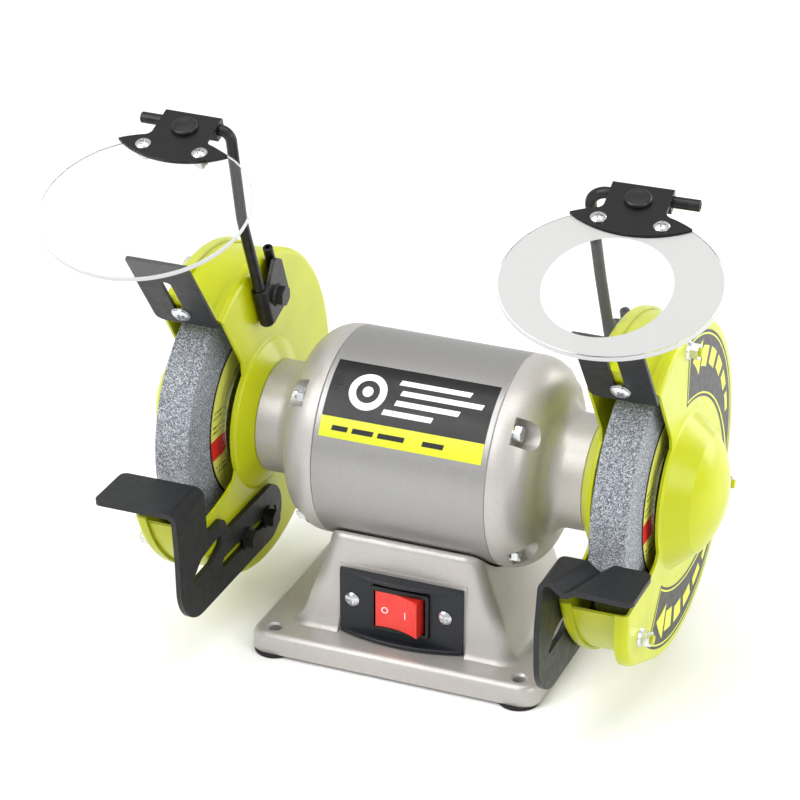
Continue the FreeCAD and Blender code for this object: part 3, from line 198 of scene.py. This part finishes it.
def silver_paint():
    """Satin metallic paint: fine flake, a little orange peel."""
    f = Finish("silver_paint", Metallic=0.4)
    flake = f.cells(0.42)
    drift = f.noise(28.0, 2.0)
    colour = f.mix(flake, shade(SILVER, 0.90), shade(SILVER, 1.10))
    colour = f.mix(f.spread(drift, 0.35, 0.65, 0.0, 0.10), colour, shade(SILVER, 0.86))
    f.bump(f.noise(1.3, 2.0), 0.012)
    f.bump(f.noise(0.32, 1.0), 0.005)
    return f.done(colour, f.spread(f.noise(9.0, 3.0), 0.3, 0.7, 0.36, 0.44))


def silver_shell():
    """The same paint over rolled sheet, with faint lines round the shell."""
    f = Finish("silver_shell", Metallic=0.74)
    lines = f.noise(1.0, 3.0, 0.6, f.stretched(3.2, 0.012, 0.012))
    flake = f.cells(0.42)
    colour = f.mix(flake, shade(SHELL_SILVER, 0.92), shade(SHELL_SILVER, 1.08))
    colour = f.mix(f.spread(lines, 0.3, 0.7, 0.0, 0.16), colour, shade(SHELL_SILVER, 0.8))
    f.bump(lines, 0.006)
    f.bump(f.noise(0.32, 1.0), 0.004)
    return f.done(colour, f.spread(lines, 0.3, 0.7, 0.33, 0.43))


def lime_paint():
    """Glossy powder coat: soft orange peel and slight drift in shade."""
    f = Finish("lime_paint", Coat_Weight=0.12, Coat_Roughness=0.12, Specular_IOR_Level=0.35)
    drift = f.noise(24.0, 3.0)
    colour = f.mix(f.spread(drift, 0.3, 0.7), shade(LIME, 0.93), shade(LIME, 1.05))
    dust = f.spread(f.noise(0.5, 2.0), 0.62, 0.75, 0.0, 0.25)
    colour = f.mix(dust, colour, shade(LIME, 0.82))
    f.rounded(0.35)
    f.bump(f.noise(2.2, 1.0), 0.020)
    f.bump(f.noise(0.6, 1.0), 0.003)
    return f.done(colour, f.spread(f.noise(6.0, 3.0), 0.3, 0.7, 0.28, 0.37))


def textured_paint(name, base, light, roughness, grain, depth, edge):
    """Fine textured powder coat, a touch lighter on its grains."""
    f = Finish(name, Specular_IOR_Level=0.38)
    grains = f.noise(grain, 3.0, 0.6)
    drift = f.noise(18.0, 3.0)
    colour = f.mix(f.spread(grains, 0.35, 0.7), base, light)
    colour = f.mix(f.spread(drift, 0.3, 0.7, 0.0, 0.3), colour, shade(base, 0.8))
    f.rounded(edge)
    f.bump(grains, depth)
    return f.done(colour, f.spread(f.noise(4.0, 2.0), 0.3, 0.7, roughness - 0.05, roughness + 0.06))


def charcoal_paint():
    return textured_paint("charcoal_paint", srgb(20, 22, 24), srgb(31, 33, 36), 0.44, 0.5, 0.03, 0.5)


def black_paint():
    return textured_paint("black_paint", srgb(6, 5, 5), srgb(13, 12, 12), 0.36, 0.45, 0.02, 0.4)


def switch_plate_plastic():
    base, light = srgb(24, 27, 32), srgb(34, 38, 44)
    return textured_paint("switch_plate_plastic", base, light, 0.42, 0.35, 0.025, 0.3)


def black_plastic():
    return textured_paint("black_plastic", srgb(17, 16, 17), srgb(28, 27, 28), 0.34, 0.4, 0.015, 0.3)


def black_rubber():
    return textured_paint("black_rubber", srgb(20, 20, 21), srgb(32, 32, 33), 0.72, 0.8, 0.06, 0.3)


def bare_metal(name, colour, low, high, metallic=1.0, edge=0.3, blotch=0.12, streaks=None):
    """Plated, oiled or machined metal: cloudy shade, with fine scratches or turning lines."""
    f = Finish(name, Metallic=metallic)
    cloud = f.noise(5.0, 4.0, 0.6)
    base = f.mix(f.spread(cloud, 0.3, 0.7), shade(colour, 1.0 - blotch), shade(colour, 1.0 + blotch))
    marks = f.noise(1.0, 3.0, 0.65, f.stretched(*(streaks or (2.5, 2.5, 0.6))))
    f.rounded(edge)
    f.bump(marks, 0.010)
    return f.done(base, f.spread(marks, 0.3, 0.7, low, high))


def black_steel():
    return bare_metal("black_steel", srgb(44, 43, 44), 0.30, 0.46, metallic=0.75, blotch=0.25)


def zinc_steel():
    return bare_metal("zinc_steel", srgb(206, 208, 210), 0.16, 0.32)


def bright_steel():
    return bare_metal("bright_steel", srgb(196, 197, 198), 0.14, 0.26, streaks=(4.0, 0.05, 0.05))


def lamination_steel():
    """Stacked sheets half a millimetre thick."""
    f = Finish("lamination_steel", Metallic=0.9)
    sheets = f.add("ShaderNodeTexWave", wave_type="BANDS", bands_direction="X")
    f.link(f.mm, sheets.inputs["Vector"])
    sheets.inputs["Scale"].default_value = 0.63
    sheets.inputs["Distortion"].default_value = 0.0
    colour = f.mix(sheets.outputs["Fac"], srgb(70, 72, 76), srgb(128, 131, 136))
    f.bump(sheets.outputs["Fac"], 0.05)
    return f.done(colour, f.spread(f.noise(3.0), 0.3, 0.7, 0.38, 0.55))


def cast_aluminium():
    return bare_metal("cast_aluminium", srgb(170, 171, 172), 0.38, 0.55, blotch=0.08)


def copper_windings():
    """Enamelled wire lying side by side."""
    f = Finish("copper_windings", Metallic=0.85, Coat_Weight=0.6, Coat_Roughness=0.12)
    wires = f.noise(1.0, 2.0, 0.5, f.stretched(0.25, 1.6, 1.6))
    colour = f.mix(f.spread(wires, 0.35, 0.65), srgb(120, 56, 24), srgb(196, 112, 58))
    f.bump(wires, 0.25)
    return f.done(colour, f.spread(wires, 0.3, 0.7, 0.25, 0.4))


def brass_tabs():
    return bare_metal("brass_tabs", srgb(205, 172, 96), 0.22, 0.36)


GRAINS = ((0.0, srgb(64, 67, 73)), (0.16, srgb(95, 99, 107)), (0.42, srgb(120, 125, 133)),
          (0.62, srgb(141, 146, 153)), (0.82, srgb(170, 174, 180)), (1.0, srgb(204, 207, 210)))


COARSE_SHARE = 0.62        # how much of a grain's shade comes from the coarse cells
COARSE_GRAIN = 0.56
FINE_GRAIN = 0.36


def abrasive():
    """Bonded grit: grains of many greys and small pores between them."""
    f = Finish("abrasive", Specular_IOR_Level=0.45)
    coarse = f.add("ShaderNodeSeparateColor")
    f.link(f.cells(COARSE_GRAIN), coarse.inputs[0])
    fine = f.add("ShaderNodeSeparateColor")
    f.link(f.cells(FINE_GRAIN), fine.inputs[0])
    mixed = f.calc("ADD", f.calc("MULTIPLY", coarse.outputs[0], COARSE_SHARE),
                   f.calc("MULTIPLY", fine.outputs[1], 1 - COARSE_SHARE))
    colour = f.ramp(f.spread(mixed, 0.14, 0.86), GRAINS)
    pores = f.spread(f.noise(0.9, 2.0, 0.6), 0.28, 0.40, 0.4, 0.0)
    colour = f.mix(pores, colour, srgb(30, 33, 42))
    f.bump(f.cells(COARSE_GRAIN, "Distance"), 0.14)
    f.bump(f.noise(0.7, 3.0, 0.7), 0.16)
    return f.done(colour, f.spread(fine.outputs[2], 0.0, 1.0, 0.45, 0.9))


BLOTTER_EDGE = 47.4        # where the black border begins
BLOTTER_PLAIN = 33.0       # no printing inside this radius
BAR_BOTTOMS = (4.0, 7.0, 12.0, 15.0, -18.0, -21.0)
BAR_HEIGHT = 1.3


def blotter_paper():
    """Printed paper washer: black border, a red block and plain bars."""
    f = Finish("blotter_paper")
    y = f.axis("Y")
    z = f.calc("SUBTRACT", f.axis("Z"), SPINDLE_Z / MM)
    radius = f.calc("SQRT", f.calc("ADD", f.calc("MULTIPLY", y, y), f.calc("MULTIPLY", z, z)))
    fibre = f.noise(0.5, 3.0, 0.7)
    colour = f.mix(fibre, srgb(220, 223, 92), srgb(234, 236, 112))

    def between(value, low, high):
        return f.calc("MULTIPLY", f.calc("GREATER_THAN", value, low), f.calc("LESS_THAN", value, high))

    front = f.calc("LESS_THAN", y, 0.0)
    field = f.calc("MULTIPLY", front, between(radius, BLOTTER_PLAIN, BLOTTER_EDGE))
    block = f.calc("MULTIPLY", field, between(z, -11.5, 0.5))
    colour = f.mix(block, colour, srgb(222, 42, 36))
    text_field = f.calc("MULTIPLY", front, between(radius, BLOTTER_PLAIN + 2.0, BLOTTER_EDGE - 1.8))
    gaps = f.spread(f.noise(0.9, 0.0, 0.5, f.stretched(1.0, 1.0, 0.05)), 0.44, 0.47)
    for low in BAR_BOTTOMS:
        bar = f.calc("MULTIPLY", text_field, between(z, low, low + BAR_HEIGHT))
        colour = f.mix(f.calc("MULTIPLY", f.calc("MULTIPLY", bar, gaps), 0.8), colour, INK_BLACK)
    colour = f.mix(f.calc("GREATER_THAN", radius, BLOTTER_EDGE), colour, INK_BLACK)
    f.bump(fibre, 0.02)
    return f.done(colour, f.spread(fibre, 0.3, 0.7, 0.5, 0.62))


LABEL_SPLIT = 33.0         # degrees above the front horizontal: lime strip below, black field above


def label_film():
    """Printed film: lime strip along the lower edge, black field above it."""
    f = Finish("label_film", Specular_IOR_Level=0.3)
    y = f.calc("MULTIPLY", f.axis("Y"), -1.0)
    z = f.calc("SUBTRACT", f.axis("Z"), SPINDLE_Z / MM)
    angle = f.calc("ARCTAN2", z, y)
    black = f.calc("GREATER_THAN", angle, math.radians(LABEL_SPLIT))
    speckle = f.noise(0.4, 2.0)
    lime = f.mix(speckle, shade(LIME_PRINT, 0.97), shade(LIME_PRINT, 1.03))
    field = f.mix(f.noise(9.0, 2.0), srgb(14, 12, 13), srgb(22, 20, 21))
    f.bump(f.noise(1.6, 1.0), 0.004)
    return f.done(f.mix(black, lime, field), f.spread(f.noise(5.0, 2.0), 0.3, 0.7, 0.27, 0.34))


def red_plastic():
    f = Finish("red_plastic", Subsurface_Weight=0.08, Coat_Weight=0.2, Coat_Roughness=0.15)
    f.shader.inputs["Subsurface Radius"].default_value = (0.002, 0.0006, 0.0004)
    colour = f.mix(f.noise(3.0, 3.0), srgb(222, 40, 30), srgb(234, 58, 46))
    f.rounded(0.4)
    f.bump(f.noise(0.5, 2.0), 0.008)
    return f.done(colour, f.spread(f.noise(2.0, 2.0), 0.3, 0.7, 0.27, 0.36))


def light_plastic():
    f = Finish("light_plastic")
    colour = f.mix(f.noise(4.0, 3.0), srgb(204, 200, 188), srgb(222, 219, 208))
    f.bump(f.noise(0.5, 2.0), 0.01)
    return f.done(colour, f.spread(f.noise(2.0, 2.0), 0.3, 0.7, 0.4, 0.5))


LENS_SLOPE = math.radians(16.8)     # mean slope of the two lenses
RIM_FACING = 0.8                    # faces turned further than this cosine from the lens are its rim


def clear_lens():
    """Clear polycarbonate with hairline marks from wiping, and a painted highlight on its rim: pale
    grey, rough, partly clear.
    """
    f = Finish("clear_lens", IOR=1.5)
    hairs = f.noise(1.0, 4.0, 0.7, f.stretched(2.0, 0.08, 0.3))
    colour = f.mix(f.noise(30.0), (0.965, 0.975, 0.975, 1.0), (0.99, 0.995, 0.995, 1.0))
    place = f.add("ShaderNodeTexCoord")
    facing = f.add("ShaderNodeVectorMath", operation="DOT_PRODUCT")
    f.link(place.outputs["Normal"], facing.inputs[0])
    facing.inputs[1].default_value = (0.0, -math.sin(LENS_SLOPE), math.cos(LENS_SLOPE))
    rim = f.calc("LESS_THAN", f.calc("ABSOLUTE", facing.outputs["Value"]), RIM_FACING)
    # painted highlight: the rim faces get a pale grey colour, less transmission and more roughness, so
    # the lens edge shows bright
    colour = f.mix(rim, colour, srgb(226, 228, 228))
    f.link(f.spread(rim, 0.0, 1.0, 1.0, 0.35), f.shader.inputs["Transmission Weight"])
    smooth = f.spread(hairs, 0.55, 0.8, 0.015, 0.08)
    return f.done(colour, f.calc("MAXIMUM", smooth, f.calc("MULTIPLY", rim, 0.5)))


def ink(name, base, light, roughness=0.35):
    """Screen-printed ink or thin vinyl."""
    f = Finish(name, Specular_IOR_Level=0.3)
    grain = f.noise(0.35, 2.0)
    f.bump(grain, 0.004)
    colour = f.mix(grain, base, light)
    return f.done(colour, f.spread(f.noise(4.0), 0.3, 0.7, roughness - 0.05, roughness + 0.05))


def frosted_ring():
    """Milky band round the clear field of the lens."""
    f = Finish("frosted_ring", Alpha=0.88, Specular_IOR_Level=0.3)
    grain = f.noise(0.6, 3.0)
    f.bump(grain, 0.02)
    colour = f.mix(grain, srgb(176, 176, 175), srgb(187, 187, 186))
    return f.done(colour, f.spread(grain, 0.3, 0.7, 0.45, 0.6))


FINISHES = {
    "silver_paint": silver_paint, "lime_paint": lime_paint, "charcoal_paint": charcoal_paint,
    "black_paint": black_paint, "black_steel": black_steel, "zinc_steel": zinc_steel,
    "bright_steel": bright_steel, "lamination_steel": lamination_steel,
    "cast_aluminium": cast_aluminium, "copper_windings": copper_windings, "brass_tabs": brass_tabs,
    "abrasive": abrasive, "blotter_paper": blotter_paper, "label_film": label_film,
    "switch_plate_plastic": switch_plate_plastic, "black_plastic": black_plastic,
    "red_plastic": red_plastic, "light_plastic": light_plastic, "black_rubber": black_rubber,
    "clear_lens": clear_lens,
}


def dress_cad_nodes():
    """Gives every CAD node the finish of its material slot."""
    made = {}
    for name, node in sorted(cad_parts.items()):
        slot = node.material_slots[0].material.name.split(".")[0]
        if slot not in made:
            made[slot] = FINISHES[slot]()
        for place in node.material_slots:
            place.material = made[slot]
    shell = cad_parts["motor_shell"]
    shell.material_slots[0].material = silver_shell()


# ---------------------------------------------------------------- thin prints on CAD surfaces
def surface_of(node):
    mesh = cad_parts[node].data
    return BVHTree.FromPolygons([v.co for v in mesh.vertices], [p.vertices for p in mesh.polygons])


def strip(lower, upper):
    """Quads between two rows of flat points of the same length."""
    points = list(lower) + list(upper)
    count = len(lower)
    quads = [(i, i + 1, count + i + 1, count + i) for i in range(count - 1)]
    return points, quads


def rect(u0, u1, v0, v1, across=8, slant=0.0):
    """A straight bar, cut into short quads so that it can follow a curved surface."""
    rows = []
    for v in (v0, v1):
        rows.append([(u0 + (u1 - u0) * i / across + slant * v, v) for i in range(across + 1)])
    return strip(*rows)


def sector(u, v, inner, outer, start=0.0, end=360.0, steps=64):
    """Part of a ring between two radii, which may change along it."""
    rows = []
    for radius in (inner, outer):
        row = []
        for i in range(steps + 1):
            share = i / steps
            angle = math.radians(start + (end - start) * share)
            r = radius(share) if callable(radius) else radius
            row.append((u + r * math.cos(angle), v + r * math.sin(angle)))
        rows.append(row)
    return strip(*rows)


def joined(shapes):
    points, quads = [], []
    for more_points, more_quads in shapes:
        base = len(points)
        points += more_points
        quads += [tuple(i + base for i in quad) for quad in more_quads]
    return points, quads


SQUARE_ON = 0.85           # cosine: a print only lies where its surface faces the ray at least this much
INK_LIFT = 0.02            # gap under a first print, and under one that lies on another, in millimetres
OVERPRINT_LIFT = 0.07
FROST_LIFT = 0.01
FILM_THICKNESS = 0.04


def printed(name, node, body, shape, ray, lift, material):
    """Lays a flat shape on a CAD node. ray gives each flat point's start and direction, in metres."""
    tree = surface_of(node)
    bm = bmesh.new()
    verts = []
    for u, v in shape[0]:
        start, direction = ray(u, v)
        hit, normal, _, _ = tree.ray_cast(start, direction)
        if hit is None or abs(normal.dot(direction.normalized())) < SQUARE_ON:
            verts.append(None)
        else:
            verts.append(bm.verts.new(hit - direction.normalized() * lift * MM))
    for quad in shape[1]:
        corners = [verts[i] for i in quad]
        if None not in corners:
            bm.faces.new(corners)
    bmesh.ops.delete(bm, geom=[v for v in bm.verts if not v.link_faces], context="VERTS")
    bmesh.ops.remove_doubles(bm, verts=bm.verts, dist=1e-6)
    sample = ray(*shape[0][0])[1]
    for face in bm.faces:
        if face.normal.dot(sample) > 0:
            face.normal_flip()
    mesh = bpy.data.meshes.new(name)
    bm.to_mesh(mesh)
    bm.free()
    piece = bpy.data.objects.new(name, mesh)
    bpy.context.scene.collection.objects.link(piece)
    mesh.materials.append(material)
    skin = piece.modifiers.new("film", "SOLIDIFY")
    skin.thickness = FILM_THICKNESS * MM
    skin.offset = 1.0
    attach(piece, body)
    return piece


PRINT_OUTER = 85.5         # radius of the guard prints' outer edge
LINE_INSETS = (1.6, 2.5)   # the lime outline lies between these distances inside the black edge
ARROW_RADIUS = 71.5
RAY_START = 0.3            # metres from the middle plane, outside the whole part


def guard_prints():
    """Two generic turning arrows on each outer guard."""
    black = ink("guard_ink_black", srgb(12, 10, 11), srgb(20, 18, 19))
    lime = ink("guard_ink_lime", LIME_PRINT, shade(LIME_PRINT, 1.05))
    for side, label in ((-1, "left"), (1, "right")):
        node = label + "_outer_guard"

        def ray(u, v, side=side):
            start = Vector((side * RAY_START, GUARD_CENTRE_Y + u * MM, GUARD_CENTRE_Z + v * MM))
            return start, Vector((-side, 0, 0))

        def crescent(start, end, r_in, r_out, inset):
            """Band that narrows from its head at start to a point at end."""
            middle = (r_in + r_out) / 2

            def low(share):
                return r_in + inset + (r_out - r_in) * 0.9 * share ** 2.2

            def high(share):
                return max(low(share) + 0.3, r_out - inset)
            turn = math.degrees(inset / middle) * (1 if end > start else -1)
            return sector(0, 0, low, high, start + turn, end - 2 * turn)

        def head_inside(share):
            return 71.0 - 9.5 * share

        def head_outside(share):
            return 71.1 + 9.5 * share

        for part, start, end, inside in (("upper", 90.0, -18.0, 48.0), ("lower", 232.0, 338.0, 52.0)):
            name = label + "_guard_" + part
            field = crescent(start, end, inside, PRINT_OUTER, 0.0)
            printed(name + "_black", node, "root", field, ray, INK_LIFT, black)
            outline, inner = [crescent(start, end, inside, PRINT_OUTER, gap) for gap in LINE_INSETS]
            ring_points = outline[0] + inner[0]
            count = len(outline[0]) // 2
            total = 2 * count
            quads = []
            for i in range(count - 1):
                quads.append((i, i + 1, total + i + 1, total + i))
                quads.append((count + i, count + i + 1, total + count + i + 1, total + count + i))
            quads.append((0, count, total + count, total))
            quads.append((count - 1, 2 * count - 1, total + 2 * count - 1, total + count - 1))
            printed(name + "_line", node, "root", (ring_points, quads), ray, OVERPRINT_LIFT, lime)
            way = 1 if end > start else -1
            dashes = []
            for i in range(5):
                a = start + way * (20 + 13 * i)
                half = 5.6 - 0.9 * i
                radius = ARROW_RADIUS + 1.3 * i
                dashes.append(sector(0, 0, radius - half, radius + half, a, a + way * 9.0, 8))
            tip = start + way * 6.0
            dashes.append(sector(0, 0, head_inside, head_outside, tip, tip + way * 12.0, 12))
            printed(name + "_arrow", node, "root", joined(dashes), ray, OVERPRINT_LIFT, lime)


LABEL_R = (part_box("motor_shell")[1].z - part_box("motor_shell")[0].z) / 2 / MM + 0.25


def label_prints():
    """A generic wheel-and-sparks symbol in the black field, plain bars in the lime strip."""
    white = ink("label_ink_white", srgb(240, 240, 240), srgb(250, 250, 250))
    black = ink("label_ink_black", srgb(20, 20, 20), srgb(32, 32, 32))

    def ray(u, v):
        """u runs along the shell, v up round it from the lime strip's top edge, in millimetres."""
        angle = math.radians(LABEL_SPLIT) + v / LABEL_R
        out = Vector((0, -math.cos(angle), math.sin(angle)))
        start = Vector((u * MM, 0, SPINDLE_Z)) + out * 0.1
        return start, -out

    middle = 16.6
    symbol = [sector(-24, middle, 6.6, 10.6), sector(-24, middle, 0.1, 3.0)]
    for i, (v, length) in enumerate(((23.6, 40.0), (17.6, 46.0), (11.6, 36.0), (5.6, 28.0))):
        start = -24 + (9 if i in (0, 3) else 13)
        symbol.append(rect(start, start + length, v, v + 3.0, 12, slant=0.28))
    printed("label_symbol", "name_label", "root", joined(symbol), ray, INK_LIFT, white)
    bars = []
    start = -38.0
    for length in (9.0, 12.0, 15.0, -5.0, 12.0):
        if length > 0:
            bars.append(rect(start, start + length, -7.2, -4.4, 6, slant=0.2))
        start += abs(length) + 2.6
    printed("label_bars", "name_label", "root", joined(bars), ray, INK_LIFT, black)


def rocker_prints():
    """The ring and bar marks on the two halves of the switch."""
    white = ink("rocker_ink", srgb(236, 226, 224), srgb(248, 240, 238))
    low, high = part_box("switch_rocker")
    middle = (low + high) / 2

    def ray(u, v):
        return Vector((middle.x + u * MM, low.y - 0.02, middle.z + v * MM)), Vector((0, 1, 0))

    ring, bar = sector(-8.0, 0, 1.35, 1.95), rect(4.2, 4.8, -2.2, 2.2)
    printed("rocker_ring_mark", "switch_rocker", "rocker", ring, ray, INK_LIFT, white)
    printed("rocker_bar_mark", "switch_rocker", "rocker", bar, ray, INK_LIFT, white)


def lens_frost():
    """Milky ring on the right lens, round a clear oval set towards its front edge."""
    node = "right_shield_lens"
    low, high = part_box(node)
    centre = (low + high) / 2
    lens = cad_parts[node].data
    normal = Vector((0, 0, 0))
    for face in lens.polygons:
        if face.normal.z > 0.7:
            normal += face.normal * face.area
    normal.normalize()
    across = Vector((1, 0, 0))
    across = (across - normal * across.dot(normal)).normalized()
    up = normal.cross(across)
    clear_u, clear_v = -0.5, -4.0
    clear_across, clear_up = 31.0, 37.0
    rim = 53.6

    def ray(u, v):
        return centre + across * u * MM + up * v * MM + normal * 0.02, -normal

    points, quads = [], []
    steps = 96
    for i in range(steps):
        a = 2 * math.pi * i / steps
        points.append((clear_u + clear_across * math.cos(a), clear_v + clear_up * math.sin(a)))
        points.append((rim * math.cos(a), rim * math.sin(a)))
    for i in range(steps):
        j = (i + 1) % steps
        quads.append((2 * i, 2 * i + 1, 2 * j + 1, 2 * j))
    frost = frosted_ring()
    printed("right_lens_frost", node, "right_shield", (points, quads), ray, FROST_LIFT, frost)


# ---------------------------------------------------------------- floor, light and camera
def floor():
    bm = bmesh.new()
    bmesh.ops.create_grid(bm, x_segments=2, y_segments=2, size=FLOOR_HALF)
    mesh = bpy.data.meshes.new("floor")
    bm.to_mesh(mesh)
    bm.free()
    piece = bpy.data.objects.new("floor", mesh)
    bpy.context.scene.collection.objects.link(piece)
    f = Finish("floor_paint")
    colour = f.mix(f.noise(400.0, 2.0), (0.90, 0.90, 0.90, 1.0), (0.93, 0.93, 0.93, 1.0))
    mesh.materials.append(f.done(colour, 0.75))


def soft_light(name, azimuth, elevation, distance, size, power):
    """Square soft box that faces the object."""
    data = bpy.data.lights.new(name, "AREA")
    data.shape = "RECTANGLE"
    data.size, data.size_y = size
    data.energy = power
    lamp = bpy.data.objects.new(name, data)
    bpy.context.scene.collection.objects.link(lamp)
    back = direction(azimuth, elevation)
    lamp.location = Vector((0, 0, 0.12)) + back * distance
    lamp.rotation_mode = "QUATERNION"
    lamp.rotation_quaternion = (-back).to_track_quat("-Z", "Y")


def direction(azimuth, elevation):
    """Unit vector from the object towards a viewer at that angle."""
    a, e = math.radians(azimuth), math.radians(elevation)
    return Vector((math.sin(a) * math.cos(e), -math.cos(a) * math.cos(e), math.sin(e)))


def studio():
    world = bpy.data.worlds.new("studio")
    bpy.context.scene.world = world
    world.use_nodes = True
    world.node_tree.nodes["Background"].inputs["Color"].default_value = (1.0, 1.0, 1.0, 1.0)
    world.node_tree.nodes["Background"].inputs["Strength"].default_value = WORLD_LIGHT
    soft_light("key", -38, 42, 1.5, (0.9, 0.9), 13.0)
    soft_light("top", 10, 82, 1.4, (1.4, 0.5), 9.0)
    soft_light("fill", 70, 25, 1.6, (0.8, 0.8), 8.0)
    soft_light("rim", 140, 15, 1.6, (1.0, 0.8), 12.0)
    bpy.context.scene.view_settings.view_transform = "Standard"


def camera():
    data = bpy.data.cameras.new("camera")
    data.sensor_width = 36.0
    data.lens = CAMERA_LENS
    data.clip_start, data.clip_end = 0.05, 50.0
    eye = bpy.data.objects.new("camera", data)
    bpy.context.scene.collection.objects.link(eye)
    back = direction(CAMERA_AZIMUTH, CAMERA_ELEVATION)
    eye.location = CAMERA_AIM + back * CAMERA_DISTANCE
    eye.rotation_mode = "QUATERNION"
    eye.rotation_quaternion = (-back).to_track_quat("-Z", "Y")
    bpy.context.scene.camera = eye


dress_cad_nodes()
guard_prints()
label_prints()
rocker_prints()
lens_frost()
floor()
studio()
camera()
